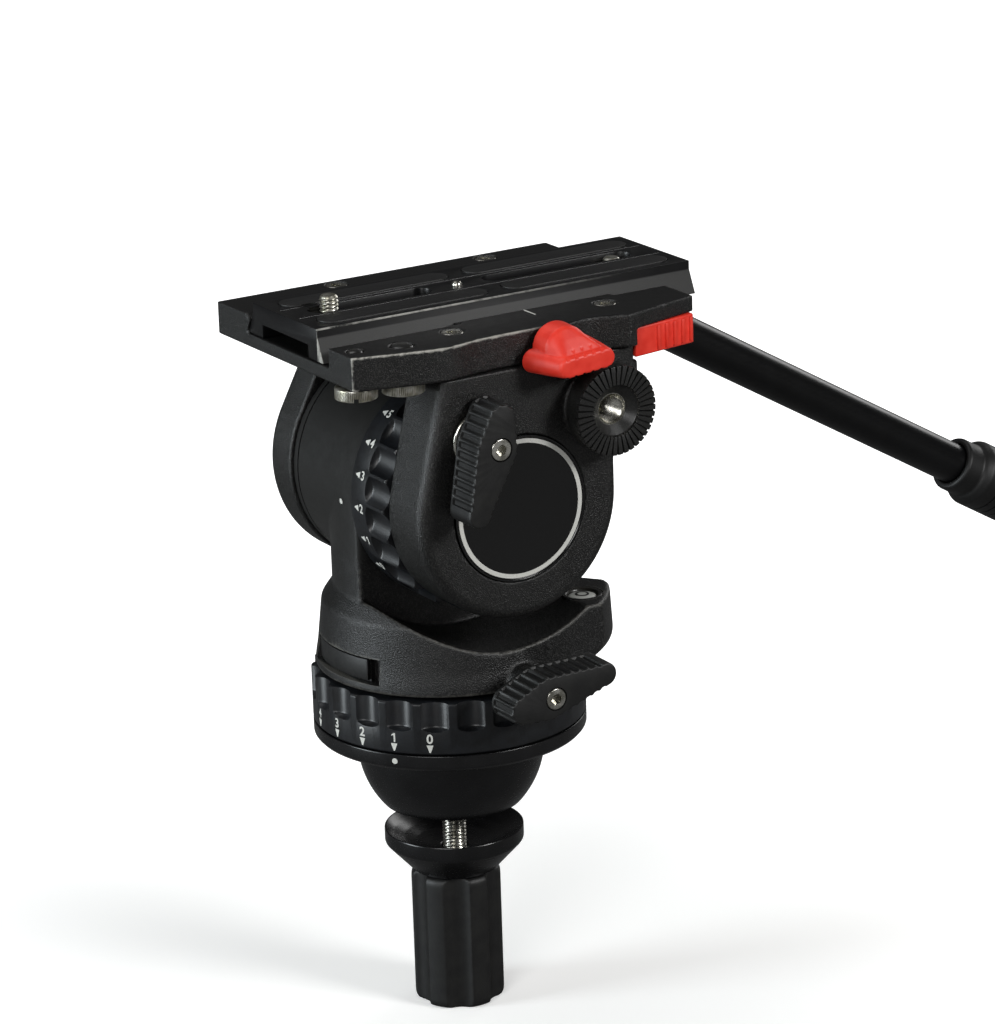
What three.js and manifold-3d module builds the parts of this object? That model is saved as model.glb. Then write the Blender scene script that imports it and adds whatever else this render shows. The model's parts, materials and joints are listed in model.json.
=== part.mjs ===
// A fluid head for a 75 mm bowl, with its pan bar.
// Millimetres, +Z up. The lens points along -X, the operator stands at +X, and the operator's left is -Y.
// The origin is the centre of the half ball, on the pan axis.
import * as THREE from "three";
import { mergeVertices } from "three/addons/utils/BufferGeometryUtils.js";
import Module from "manifold-3d";

const wasm = await Module();
wasm.setup();

// Clearances and cuts
const SEAT = 0.3; // between pieces that are fixed to each other
const RUN = 0.3; // between pieces that move on each other
const OVERRUN = 2; // how far a cut passes its piece
const WELD = 1e-3; // corners nearer than this are one

// Facets round a full turn
const RIM_STEPS = 36;
const SHAFT_STEPS = 20;
const SCREW_STEPS = 10;
const INNER_STEPS = 16; // pieces that no one sees
const ARC_STEPS = 4; // along one short arc of an outline
const SWEEP_STEPS = 18; // along a long arc
const RIM_ARC_STEPS = 2; // across a rounded rim
const HEX_STEPS = 6;

// Half ball and bowl clamp
const BALL_RADIUS = 37.5;
const BALL_DEPTH = 25; // centre of the ball to its flat underside
const BALL_RECESS_RADIUS = 16;
const BALL_RECESS_DEPTH = 6;
const STUD_RADIUS = 5;
const STUD_DROP = 92; // centre of the ball to the stud's tip
const STUD_RISE = 24; // centre of the ball to the stud's top, inside the spindle
const CUP_SPHERE = 46; // the dished face that presses the bowl
const CUP_RADIUS = 28;
const CUP_HEIGHT = 18;
const CUP_FOOT_RADIUS = 17;
const KNOB_RADIUS = 18;
const KNOB_HEIGHT = 56;
const KNOB_LOBES = 6;
const KNOB_FLUTE = 7; // radius of the hollow between two lobes
const KNOB_FLUTE_DEPTH = 3;
const KNOB_END_WALL = 10;

// Base and pan drag ring
const PAN_RADIUS = 54.5;
const BASE_UNDERSIDE = 5.35; // above the centre of the ball
const BASE_HEIGHT = 6.65;
const BASE_EDGE = 1;
const BASE_FLOOR = 8.65; // thickness of the base in the middle
const RING_WALL = 10.8;
const COLLAR_RADIUS = PAN_RADIUS - RING_WALL; // the drag ring turns on it
const COLLAR_WALL = 2.7;
const RING_HEIGHT = 21.2;
const RING_BAND = 9.8; // plain band with the numbers
const RING_EDGE = 0.8;
const RING_POCKETS = 24;
const POCKET_RADIUS = 6.2;
const POCKET_DEPTH = 2.3;
const RING_SHADOW = 1.3; // open line between the drag ring and the housing
const SPINDLE_RADIUS = 14;
const SPINDLE_FLANGE = 20;
const SPINDLE_FLANGE_HEIGHT = 2.4;
const BEARING_HEIGHT = 9;
const BEARING_WIDTH = 7.7;
const DAMPER_PLAY = 1.3;
const DAMPER_RADIUS = COLLAR_RADIUS - COLLAR_WALL - DAMPER_PLAY;
const DAMPER_TOP_GAP = 0.4;

// Pan housing
const HOUSING_STEP = 1.8; // in from the drag ring
const HOUSING_RADIUS = PAN_RADIUS - HOUSING_STEP;
const BELT_STEP = 1.4;
const HOUSING_BELT_RADIUS = HOUSING_RADIUS - BELT_STEP;
const HOUSING_BELT_HEIGHT = 9;
const SHOULDER_STEP = 2;
const SHOULDER_RADIUS = HOUSING_BELT_RADIUS - SHOULDER_STEP;
const SHOULDER_HEIGHT = 26.9;
const NECK_STEP = 4.6;
const NECK_RADIUS = SHOULDER_RADIUS - NECK_STEP;
const NECK_HEIGHT = 33.5; // housing bottom to the foot of the neck
const AXIS_HEIGHT = 75.7; // housing bottom to the tilt axis
const CAVITY_RADIUS = DAMPER_RADIUS + RUN;
const CAVITY_HEIGHT = 12.9;
const NECK_NEAR = 9; // neck and drum, operator's left of the pan axis
const NECK_FAR = 40; // neck and drum, operator's right of the pan axis
const DRUM_RADIUS = 44.4;
const DRUM_WALL = 6.4;
const DRUM_END_WALL = 10;
const SADDLE_RADIUS = 60; // room for the cheeks to swing

// Lobe with the bubble level
const LOBE_OVERHANG = 5.3; // past the housing, to the rear
const LOBE_REAR = HOUSING_RADIUS + LOBE_OVERHANG;
const LOBE_TUCK = 2.2;
const LOBE_SIDE = HOUSING_RADIUS - LOBE_TUCK;
const LOBE_FRONT = 18;
const LOBE_CORNER = 15;
const LOBE_TOP = 26.9; // above the housing bottom
const LOBE_LOW = 3;
const LOBE_CHAMFER = 5;
const LOBE_BULGE = 13.3; // its round outer face, past the housing
const LOBE_REACH = HOUSING_RADIUS + LOBE_BULGE;
const LOBE_DRAFT = 1;
const BUBBLE_REAR_INSET = 16.5; // from the lobe's rear
const BUBBLE_REAR = LOBE_REAR - BUBBLE_REAR_INSET;
const BUBBLE_SIDE_INSET = 15;
const BUBBLE_SIDE = LOBE_SIDE - BUBBLE_SIDE_INSET;
const BEZEL_RADIUS = 8;
const BEZEL_WALL = 2;
const BEZEL_DEPTH = 7;
const VIAL_CROWN = 0.8;
const VIAL_INSET = 0.7;

// Battery cover, which slides round the housing into its notch
const COVER_LOW = 3.7; // above the housing bottom
const COVER_HEIGHT = 9.4;
const COVER_SINK = 2.2; // in from the housing's foot
const COVER_OUTER = HOUSING_RADIUS - COVER_SINK;
const COVER_THICKNESS = 1.6;
const COVER_START = 158; // degrees from +X
const COVER_END = 201.4;
const NOTCH_END = 208.6;
const NOTCH_DEPTH = 4;
const COVER_PLAY = 0.4; // degrees

// Brake levers
const LEVER_THICKNESS = 13;
const LEVER_CROWN = 3;
const LEVER_HUB = 9;
const LEVER_LONG = 25; // pivot to the centre of the long end
const LEVER_LONG_RADIUS = 5.2;
const LEVER_SHORT = 11.6;
const LEVER_SHORT_RADIUS = 6.4;
const LEVER_BEND = 208; // degrees from the long end to the short end
const LEVER_INSET = 1.4;
const RIB_PITCH = 3;
const RIB_GROOVE = 1.3;
const RIB_DEPTH = 0.9;
const RIB_LENGTH = 10;
const BRAKE_BOSS_RADIUS = 7;
const BRAKE_BOSS_LENGTH = 2; // beyond the cheek
const COLLAR_RING_RADIUS = 11.5;
const COLLAR_RING_WIDTH = 1.4;
const PAN_BRAKE_OUT = 7.2; // back of the lever, past the drag ring
const PAN_BRAKE_BACK = -PAN_RADIUS - PAN_BRAKE_OUT;
const PAN_BRAKE_REAR = 3;
const PAN_BRAKE_HEIGHT = 2.7; // above the housing bottom
const PAN_BRAKE_ANGLE = 3; // degrees above +X
const TILT_BRAKE_FRONT = 18;
const TILT_BRAKE_RISE = 30.7;
const TILT_BRAKE_ANGLE = -110;

// Cap screws
const SCREW_RADIUS = 2.5;
const SCREW_HEAD_RADIUS = 4.3;
const SCREW_HEAD_HEIGHT = 5;
const SCREW_SOCKET = 2.3;
const SCREW_SOCKET_DEPTH = 2.6;
const SCREW_REACH = 10; // into the piece behind
const SCREW_SINK = 1.2;

// Tilt drag ring and damper
const TILT_RING_RADIUS = 46.6;
const TILT_RING_WIDTH = 25.4;
const TILT_RING_BAND = 10.8;
const TILT_DAMPER_FAR = 15;
const AXLE_RADIUS = 12;
const AXLE_REACH = 15; // into each cheek
const TILT_BEARING_WIDTH = 8;
const TILT_BEARING_HEIGHT = 7.7;
const SPRING_WIRE = 1.5;
const SPRING_PITCH = 3.6;
const SPRING_TURNS = 3;
const SPRING_STEPS = 10; // a turn
const SPRING_SIDES = 3; // in half a turn of the wire

// Cheeks, about the tilt axis
const NEAR_CHEEK_RADIUS = 44.3;
const NEAR_CHEEK_WIDTH = 24.4;
const NEAR_CHEEK_FRONT = 32.3; // at its top
const FAR_CHEEK_RADIUS = 45.5;
const FAR_CHEEK_WIDTH = 17.7;
const FAR_CHEEK_FRONT = 22;
const CHEEK_BEVEL = 4;
const ROSETTE_REAR = 36.2;
const ROSETTE_RISE = 35.4;
const ROSETTE_SHOULDER = 20; // cheek round the rosette
const FLANK_RISE = 11;
const BLEND_ANGLE = -50; // degrees, where the flank meets the shoulder
const BADGE_RADIUS = 28.9;
const BADGE_THICKNESS = 1.4;
const BADGE_PROUD = 0.3;
const BADGE_RIM = 1.3;
const BADGE_SINK = 0.4;

// Rosettes
const ROSETTE_OUT = 13.5; // its teeth, past the near cheek
const ROSETTE_RADIUS = 17.6;
const ROSETTE_HUB = 9.5;
const ROSETTE_BORE = 5;
const ROSETTE_THICKNESS = 8.6;
const ROSETTE_RECESS = 1.6;
const ROSETTE_TEETH = 26;
const TOOTH_DEPTH = 1.3;
const ROSETTE_BOSS = 15;
const ROSETTE_BORE_DEPTH = 14; // into the cheek

// Carrier for the camera plate, above the tilt axis
const CARRIER_BOTTOM = 56.1;
const CARRIER_HEIGHT = 13.3;
const CARRIER_FLOOR = 5.6;
const CARRIER_FRONT = 67.2;
const CARRIER_REAR = 84;
const CARRIER_TUCK = 6; // in from the near cheek's outer face
const CHANNEL_NEAR = 34.3;
const LIP_CHAMFER = 3.2;
const LIP_RISE = 5.7;
// near edge: share of the length from the front, share of the half width
const NEAR_EDGE_SHARES = [
  [0.127, 1.086],
  [0.239, 1.148],
  [0.345, 1.097],
  [0.438, 1.086],
  [0.53, 1.086],
  [0.603, 1.112],
  [0.669, 1.086],
  [0.735, 1.137],
  [0.77, 1.187],
];
const NEAR_FRONT_SHARE = 0.983;
const NEAR_REAR_SHARE = 1.015;
const CARRIER_SCREW_FRONT = 17.4;
const CARRIER_SCREW_REAR = 51.3;
const CARRIER_SCREW_NEAR_INSET = 11.4; // from the carrier's side
const CARRIER_SCREW_FAR_INSET = 11; // from the far cheek's outer face

// Clamp bar and its red lever
const CLAMP_FRONT = 8;
const CLAMP_REAR = 60;
const CLAMP_HEIGHT = 5.8;
const CLAMP_TRAVEL = 2;
const LOCK_REAR = 16.5;
const LOCK_RISE = 62.2; // above the tilt axis
const LOCK_OUT = 6.4; // back of the hub, past the carrier's side
const LOCK_HUB = 9.2;
const LOCK_HUB_TOP = 6;
const LOCK_HUB_HEIGHT = 8;
const LOCK_STEM = 4.2;
const LOCK_GRIP_LENGTH = 33;
const LOCK_GRIP_HEIGHT = 10.6;
const LOCK_GRIP_THICKNESS = 13.5;
const LOCK_GRIP_REAR = 4.6; // from the pivot
const LOCK_GRIP_DROP = 6;
const LOCK_GRIP_SLOPE = 5; // degrees
const LOCK_RIBS = 6;
const LOCK_RIB_PITCH = 2.9;
const LOCK_RIB_LENGTH = 9;

// Red safety latch
const LATCH_FRONT = 53.4;
const LATCH_REAR = 83.4;
const LATCH_LOW = 50.8; // above the tilt axis
const LATCH_TOP = 62.6;
const LATCH_OUT = 6.6; // its front end, past the carrier's side
const LATCH_LEAN = 4.6; // its rear end is further in
const LATCH_THICKNESS = 7.6;
const LATCH_RIBS = 4;
const LATCH_RIB = 1.6;
const LATCH_RIB_PROUD = 0.7;
const LATCH_RIB_PITCH = 4.2;
const LATCH_PIN_RADIUS = 1.6;
const LATCH_PIN_INSET = 4;
const LATCH_STROKE = 4.6; // room behind the ribbed end
const SKIRT_THICKNESS = 6;

// Camera plate
const PLATE_FRONT = 66.6;
const PLATE_REAR = 101.8;
const PLATE_HALF = 29.2;
const PLATE_TOP_HALF = 25.1;
const PLATE_FLANK = 9.2;
const PLATE_HEIGHT = 12.6;
const RECESS_HALF = 18;
const RECESS_HEIGHT = 5.2;
const SLOT_HALF = 5;
const FRONT_SLOT = [-56, -2]; // both ends, along X
const REAR_SLOT = [22, 90];
const PAD_SIDE = 15;
const PAD_HALF = 5.6;
const FRONT_PAD = [-60, 14];
const REAR_PAD = [22, 97];
const PAD_THICKNESS = 1.9;
const PAD_PROUD = 0.4;
const PIN_REAR = 10;
const PIN_RADIUS = 2.1;
const PIN_HEIGHT = 2.4;
const PIN_DEPTH = 5;
const FRONT_SCREW = -47;
const REAR_SCREW = 81.5;
const CAMERA_SCREW_RADIUS = 4.5;
const CAMERA_SCREW_HEAD = 8.2;
const CAMERA_SCREW_HEAD_HEIGHT = 2.8;
const FRONT_SCREW_PROUD = 8.3;
const REAR_SCREW_PROUD = 1.2;
const SLIDER_HALF = 11;
const SLIDER_THICKNESS = 1.5;

// Spare screws, kept under the front of the carrier
const SPARE_HEAD_RADIUS = 8.2;
const SPARE_HEAD_HEIGHT = 4.5;
const SPARE_KNURLS = 18;
const SPARE_KNURL_DEPTH = 0.35;
const SPARE_PROUD = 0.7;
const LARGE_SPARE_INSET = 5.7; // from the carrier's side
const SMALL_SPARE_INSET = 9.5;

// Counterbalance knob
const BALANCE_RADIUS = 31;
const BALANCE_WIDTH = 12.4;
const BALANCE_LOBES = 10;
const BALANCE_FLUTE = 9;
const BALANCE_FLUTE_DEPTH = 2.5;

// Pan bar
const SOCKET_RADIUS = 17.6;
const SOCKET_WIDTH = 20;
const SLEEVE_RADIUS = 12;
const SLEEVE_END = 46; // from the rosette's axis
const TUBE_RADIUS = 9;
const TUBE_START = 21;
const BAR_BEND = 88.8; // from the rosette's axis to the corner of the bend
const BAR_DROP = 30.3; // degrees
const BEND_RADIUS = 55;
const GRIP_START = 219.6; // from the corner of the bend
const GRIP_LENGTH = 113;
const GRIP_RADIUS = 15;
const GRIP_LIP = 12.2;
const GRIP_LIP_LENGTH = 9;
const GRIP_TAPER = 4;
const GRIP_END = 13;
const CAP_THICKNESS = 4;
const CAP_PLUG = 8;
const BAR_ROSETTE_THICKNESS = 4.6;
const BAR_KNOB_RADIUS = 16;
const BAR_KNOB_WIDTH = 18;
const BAR_STUD_END = 60; // from the pan axis

// Places worked out from the sizes above
const BASE_TOP = BASE_UNDERSIDE + BASE_HEIGHT;
const BASE_FLOOR_TOP = BASE_UNDERSIDE + BASE_FLOOR;
const HOUSING_BOTTOM = BASE_TOP + RUN + RING_HEIGHT + RING_SHADOW + RUN;
const TILT_AXIS = HOUSING_BOTTOM + AXIS_HEIGHT;
const NEAR_INNER = -(NECK_NEAR + RUN + TILT_RING_WIDTH + RUN);
const NEAR_OUTER = NEAR_INNER - NEAR_CHEEK_WIDTH;
const FAR_INNER = NECK_FAR + RUN;
const FAR_OUTER = FAR_INNER + FAR_CHEEK_WIDTH;
const CARRIER_TOP = CARRIER_BOTTOM + CARRIER_HEIGHT;
const CHANNEL_FLOOR = CARRIER_BOTTOM + CARRIER_FLOOR;
const PLATE_LOW = CHANNEL_FLOOR + RUN;
const PLATE_TOP = PLATE_LOW + PLATE_HEIGHT;
const CHEEK_TOP = CARRIER_BOTTOM - SEAT;
const RECESS_TOP = PLATE_LOW + RECESS_HEIGHT;
const BRAKE_BACK = NEAR_OUTER - BRAKE_BOSS_LENGTH - RUN;
const ROSETTE_FACE = -NEAR_OUTER + ROSETTE_OUT;
const CARRIER_HALF = -NEAR_OUTER - CARRIER_TUCK;
const CARRIER_SCREW_NEAR = CARRIER_HALF - CARRIER_SCREW_NEAR_INSET;
const CARRIER_SCREW_FAR = FAR_OUTER - CARRIER_SCREW_FAR_INSET;
const LOCK_SIDE = CARRIER_HALF + LOCK_OUT;
const LATCH_FRONT_SIDE = CARRIER_HALF + LATCH_OUT;
const LATCH_REAR_SIDE = LATCH_FRONT_SIDE - LATCH_LEAN;
const LARGE_SPARE = { front: 42.8, side: CARRIER_HALF - LARGE_SPARE_INSET, radius: 4.5 };
const SMALL_SPARE = { front: 61, side: CARRIER_HALF - SMALL_SPARE_INSET, radius: 3.1 };

const HALF_TURN = Math.PI;
const FULL_TURN = 2 * Math.PI;
const { degToRad } = THREE.MathUtils;

// Materials
function finish(color, roughness, metalness) {
  return new THREE.MeshStandardMaterial({ color, roughness, metalness });
}
const CRINKLE = finish(0x1b1b1c, 0.62, 0.2);
const SATIN = finish(0x161617, 0.38, 0.5);
const PLASTIC = finish(0x1c1c1c, 0.55, 0);
const RUBBER = finish(0x141414, 0.8, 0);
const RED = finish(0xd8281f, 0.4, 0);
const STEEL = finish(0xb9b8b3, 0.3, 1);
const GLOSS = finish(0x0a0a0b, 0.12, 0);
const VIAL = finish(0xc9d88a, 0.1, 0);

// A closed geometry as a solid, with its faces pointing out.
function solid(geometry) {
  const loose = geometry.index ? geometry.toNonIndexed() : geometry;
  const bare = new THREE.BufferGeometry().setAttribute("position", loose.getAttribute("position"));
  const merged = mergeVertices(bare, WELD);
  const corners = merged.index.array;
  const triangles = [];
  for (let i = 0; i < corners.length; i += 3) {
    const [a, b, c] = [corners[i], corners[i + 1], corners[i + 2]];
    if (a !== b && b !== c && c !== a) triangles.push(a, b, c);
  }
  const make = (triVerts) =>
    new wasm.Manifold(
      new wasm.Mesh({
        numProp: 3,
        vertProperties: merged.attributes.position.array,
        triVerts: new Uint32Array(triVerts),
      }),
    );
  const made = make(triangles);
  return made.volume() < 0 ? make(triangles.reverse()) : made;
}

// A solid as a geometry.
function surface(made) {
  const mesh = made.getMesh();
  return new THREE.BufferGeometry()
    .setAttribute("position", new THREE.BufferAttribute(mesh.vertProperties, mesh.numProp))
    .setIndex(new THREE.BufferAttribute(mesh.triVerts, 1));
}

const joined = (first, ...more) => surface(more.reduce((sum, next) => sum.add(solid(next)), solid(first)));
const cut = (body, ...tools) => surface(
  tools.reduce((rest, tool) => rest.subtract(solid(tool)), solid(body)),
);
const common = (first, second) => surface(solid(first).intersect(solid(second)));

// A profile of [radius, height] pairs turned about Y, closed on itself unless both ends lie on the axis.
function turnedY(profile, steps = RIM_STEPS) {
  const points = profile.map(([radius, height]) => new THREE.Vector2(radius, height));
  if (profile[0][0] || profile.at(-1)[0]) points.push(points[0].clone());
  return new THREE.LatheGeometry(points, steps);
}
const turnedZ = (profile, steps) => turnedY(profile, steps).rotateX(HALF_TURN / 2);
const turnedX = (profile, steps) => turnedY(profile, steps).rotateZ(-HALF_TURN / 2);

const rod = (radius, from, to) => [[0, from], [radius, from], [radius, to], [0, to]];
const tube = (inner, outer, from, to) => [[inner, from], [outer, from], [outer, to], [inner, to]];

// An outline drawn in X and Y, raised along Z.
function slabZ(outline, from, to, curveSegments = ARC_STEPS) {
  const settings = { depth: to - from, bevelEnabled: false, curveSegments };
  return new THREE.ExtrudeGeometry(outline, settings).translate(0, 0, from);
}

// An outline drawn in X and Z, spread along Y.
function slabY(outline, from, to, curveSegments) {
  return slabZ(outline, 0, to - from, curveSegments).rotateX(HALF_TURN / 2).translate(0, to, 0);
}

// An outline drawn in Y and Z, spread along X.
function slabX(outline, from, to, curveSegments) {
  return slabZ(outline, from, to, curveSegments).rotateX(HALF_TURN / 2).rotateZ(HALF_TURN / 2);
}

function block([x0, x1], [y0, y1], [z0, z1]) {
  const middle = [(x0 + x1) / 2, (y0 + y1) / 2, (z0 + z1) / 2];
  return new THREE.BoxGeometry(x1 - x0, y1 - y0, z1 - z0).translate(...middle);
}

function polygon(points) {
  return new THREE.Shape(points.map(([x, y]) => new THREE.Vector2(x, y)));
}

// The outline round two circles, from one centre to a second one along X.
function taper(radius, reach, endRadius) {
  const lean = Math.acos((radius - endRadius) / reach);
  const outline = new THREE.Shape();
  outline.absarc(0, 0, radius, lean, FULL_TURN - lean, false);
  outline.absarc(reach, 0, endRadius, -lean, lean, false);
  outline.closePath();
  return outline;
}

// The outline of a ring sector between two angles in degrees.
function sector(inner, outer, from, to) {
  const outline = new THREE.Shape();
  outline.absarc(0, 0, outer, degToRad(from), degToRad(to), false);
  outline.absarc(0, 0, inner, degToRad(to), degToRad(from), true);
  outline.closePath();
  return outline;
}

// A slot with round ends along X.
function pill([from, to], side, half) {
  const outline = new THREE.Shape();
  outline.absarc(to - half, side, half, -HALF_TURN / 2, HALF_TURN / 2, false);
  outline.absarc(from + half, side, half, HALF_TURN / 2, HALF_TURN + HALF_TURN / 2, false);
  outline.closePath();
  return outline;
}

// The same cutter at equal steps round Z.
function round(count, makeCutter, offset = 0) {
  const cutters = [];
  for (let i = 0; i < count; i += 1) cutters.push(makeCutter().rotateZ(((i + offset) / count) * FULL_TURN));
  return cutters;
}

// A closed ring whose section changes from step to step about Z.
function sweptRing(sectionAt, steps) {
  const rings = [];
  for (let i = 0; i < steps; i += 1) {
    const angle = (i / steps) * FULL_TURN;
    rings.push(sectionAt(i).map(([r, z]) => [r * Math.cos(angle), r * Math.sin(angle), z]));
  }
  const faces = [];
  rings.forEach((ring, i) => {
    const next = rings[(i + 1) % steps];
    ring.forEach((corner, j) => {
      const k = (j + 1) % ring.length;
      faces.push(...corner, ...next[j], ...next[k], ...corner, ...next[k], ...ring[k]);
    });
  });
  return new THREE.BufferGeometry().setAttribute("position", new THREE.Float32BufferAttribute(faces, 3));
}

// A drag ring about Z with its plain band at 0 and finger pockets above it.
function dragRing(inner, outer, height, band) {
  const body = turnedZ([
    [inner, 0],
    [outer - RING_EDGE, 0],
    [outer, RING_EDGE],
    [outer, height],
    [inner, height],
  ], RING_POCKETS * 2);
  const reach = outer - POCKET_DEPTH + POCKET_RADIUS;
  const hollow = rod(POCKET_RADIUS, band, height + OVERRUN);
  const pocket = () => turnedZ(hollow, SCREW_STEPS).translate(reach, 0, 0);
  return cut(body, ...round(RING_POCKETS, pocket, 1 / 2));
}

// A toothed disc about Z, from its back at 0 to its tooth tips.
function rosette(thickness) {
  const section = (i) => {
    const dip = i % 2 ? TOOTH_DEPTH : 0;
    return [
      [ROSETTE_BORE, 0],
      [ROSETTE_RADIUS, 0],
      [ROSETTE_RADIUS, thickness - dip],
      [ROSETTE_HUB, thickness - (dip * ROSETTE_HUB) / ROSETTE_RADIUS],
      [ROSETTE_HUB, thickness - ROSETTE_RECESS],
      [ROSETTE_BORE, thickness - ROSETTE_RECESS],
    ];
  };
  return sweptRing(section, 2 * ROSETTE_TEETH);
}

// A cap screw along Z: its seat is at 0, its head above and its shank below.
function capScrew(reach) {
  const body = turnedZ([
    [0, -reach],
    [SCREW_RADIUS, -reach],
    [SCREW_RADIUS, 0],
    [SCREW_HEAD_RADIUS, 0],
    [SCREW_HEAD_RADIUS, SCREW_HEAD_HEIGHT],
    [0, SCREW_HEAD_HEIGHT],
  ], SCREW_STEPS);
  const socket = rod(SCREW_SOCKET, SCREW_HEAD_HEIGHT - SCREW_SOCKET_DEPTH, SCREW_HEAD_HEIGHT + OVERRUN);
  return cut(body, turnedZ(socket, HEX_STEPS));
}

// A knob about Z with hollows round its side.
function flutedKnob(radius, low, high, lobes, flute, depth) {
  const edge = depth / 2;
  const body = turnedZ([
    [0, low],
    [radius - edge, low],
    [radius, low + edge],
    [radius, high - edge],
    [radius - edge, high],
    [0, high],
  ], SHAFT_STEPS);
  const hollow = () =>
    turnedZ(rod(flute, low - OVERRUN, high + OVERRUN), SCREW_STEPS).translate(radius - depth + flute, 0, 0);
  return cut(body, ...round(lobes, hollow));
}

// Grooves across one straight edge of a lever, which starts at a point and runs at an angle.
function edgeGrooves(start, angle, length) {
  const grooves = [];
  const count = Math.floor(length / RIB_PITCH);
  for (let i = 0; i < count; i += 1) {
    const along = (i + 1 / 2) * RIB_PITCH;
    grooves.push(
      block([along - RIB_GROOVE / 2, along + RIB_GROOVE / 2], [-RIB_DEPTH, OVERRUN], [0, RIB_LENGTH])
        .translate(0, 0, (LEVER_THICKNESS - RIB_LENGTH) / 2)
        .rotateZ(angle)
        .translate(start[0], start[1], 0),
    );
  }
  return grooves;
}

// A brake lever with its back at 0, its pivot on Z and its long end along X.
function brakeLever() {
  const bend = degToRad(LEVER_BEND);
  const long = taper(LEVER_HUB, LEVER_LONG, LEVER_LONG_RADIUS);
  const short = taper(LEVER_HUB, LEVER_SHORT, LEVER_SHORT_RADIUS);
  const crownLong = taper(LEVER_HUB - LEVER_INSET, LEVER_LONG, LEVER_LONG_RADIUS - LEVER_INSET);
  const crownShort = taper(LEVER_HUB - LEVER_INSET, LEVER_SHORT, LEVER_SHORT_RADIUS - LEVER_INSET);
  const front = LEVER_THICKNESS + LEVER_CROWN;
  const body = joined(
    slabZ(long, 0, LEVER_THICKNESS),
    slabZ(short, 0, LEVER_THICKNESS).rotateZ(bend),
    slabZ(crownLong, LEVER_THICKNESS / 2, front),
    slabZ(crownShort, LEVER_THICKNESS / 2, front).rotateZ(bend),
  );
  const lean = Math.asin((LEVER_HUB - LEVER_LONG_RADIUS) / LEVER_LONG);
  const edge = LEVER_LONG * Math.cos(lean);
  const foot = [LEVER_HUB * Math.sin(lean), LEVER_HUB * Math.cos(lean)];
  const upper = edgeGrooves(foot, -lean, edge);
  const lower = edgeGrooves(foot, -lean, edge).map((groove) => groove.scale(1, -1, 1));
  const sunkHead = rod(SCREW_HEAD_RADIUS + SEAT, front - SCREW_HEAD_HEIGHT - SCREW_SINK, front + OVERRUN);
  return cut(
    body,
    ...upper,
    ...lower,
    turnedZ(rod(SCREW_RADIUS + SEAT, -OVERRUN, front), SCREW_STEPS),
    turnedZ(sunkHead, SCREW_STEPS),
  );
}

function brakeScrew() {
  const seat = LEVER_THICKNESS + LEVER_CROWN - SCREW_HEAD_HEIGHT - SCREW_SINK + SEAT;
  return capScrew(seat + SCREW_REACH).translate(0, 0, seat);
}

// Corners along an arc between two angles.
function arc(x, y, radius, from, to, steps = ARC_STEPS) {
  const corners = [];
  for (let i = 0; i <= steps; i += 1) {
    const angle = from + ((to - from) * i) / steps;
    corners.push(new THREE.Vector2(x + radius * Math.cos(angle), y + radius * Math.sin(angle)));
  }
  return corners;
}

// A closed solid through outlines with equally many corners, each at its own height on Z.
function loft(layers) {
  const at = ({ corners, height }, i) => [corners[i].x, corners[i].y, height];
  const faces = [];
  layers.slice(1).forEach((upper, j) => {
    const lower = layers[j];
    lower.corners.forEach((_, i) => {
      const k = (i + 1) % lower.corners.length;
      faces.push(...at(lower, i), ...at(lower, k), ...at(upper, k));
      faces.push(...at(lower, i), ...at(upper, k), ...at(upper, i));
    });
  });
  const closeWith = (layer, up) => {
    THREE.ShapeUtils.triangulateShape(layer.corners, []).forEach((face) => {
      const turn = THREE.ShapeUtils.area(face.map((i) => layer.corners[i]));
      const ordered = turn > 0 === up ? face : [...face].reverse();
      ordered.forEach((i) => faces.push(...at(layer, i)));
    });
  };
  closeWith(layers[0], false);
  closeWith(layers.at(-1), true);
  return new THREE.BufferGeometry().setAttribute("position", new THREE.Float32BufferAttribute(faces, 3));
}

// A cheek's outline in X and Z about the tilt axis, drawn in by an inset all round but at its top.
function cheekOutline(fullRadius, front, inset) {
  const touch = Math.atan2(CHEEK_TOP, -front) + Math.acos(fullRadius / Math.hypot(front, CHEEK_TOP));
  const radius = fullRadius - inset;
  const shoulder = ROSETTE_SHOULDER - inset;
  const blend = degToRad(BLEND_ANGLE);
  const topFront = (radius - CHEEK_TOP * Math.sin(touch)) / Math.cos(touch);
  const foot = new THREE.Vector2(radius, FLANK_RISE);
  const meet = new THREE.Vector2(
    ROSETTE_REAR + shoulder * Math.cos(blend),
    ROSETTE_RISE + shoulder * Math.sin(blend),
  );
  const corner = new THREE.Vector2(radius, meet.y - (meet.x - radius) / Math.tan(-blend));
  return [
    new THREE.Vector2(topFront, CHEEK_TOP),
    ...arc(0, 0, radius, touch, FULL_TURN, SWEEP_STEPS),
    ...new THREE.QuadraticBezierCurve(foot, corner, meet).getPoints(RIM_ARC_STEPS).slice(0, -1),
    ...arc(ROSETTE_REAR, ROSETTE_RISE, shoulder, blend, 0),
    new THREE.Vector2(ROSETTE_REAR + shoulder, CHEEK_TOP),
  ];
}

// A cheek about Z, flat at 0 and with a rounded rim at its width.
function cheekBody(radius, front, width) {
  const layers = [{ corners: cheekOutline(radius, front, 0), height: 0 }];
  for (let i = 0; i <= RIM_ARC_STEPS; i += 1) {
    const angle = (i / RIM_ARC_STEPS) * (HALF_TURN / 2);
    layers.push({
      corners: cheekOutline(radius, front, CHEEK_BEVEL * (1 - Math.cos(angle))),
      height: width - CHEEK_BEVEL * (1 - Math.sin(angle)),
    });
  }
  return loft(layers);
}

const outwardNear = (geometry, from) => geometry.rotateX(HALF_TURN / 2).translate(0, from, 0);
const mirroredFar = (geometry, from) => geometry.rotateX(HALF_TURN / 2).scale(1, -1, 1).translate(0, from, 0);

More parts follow.
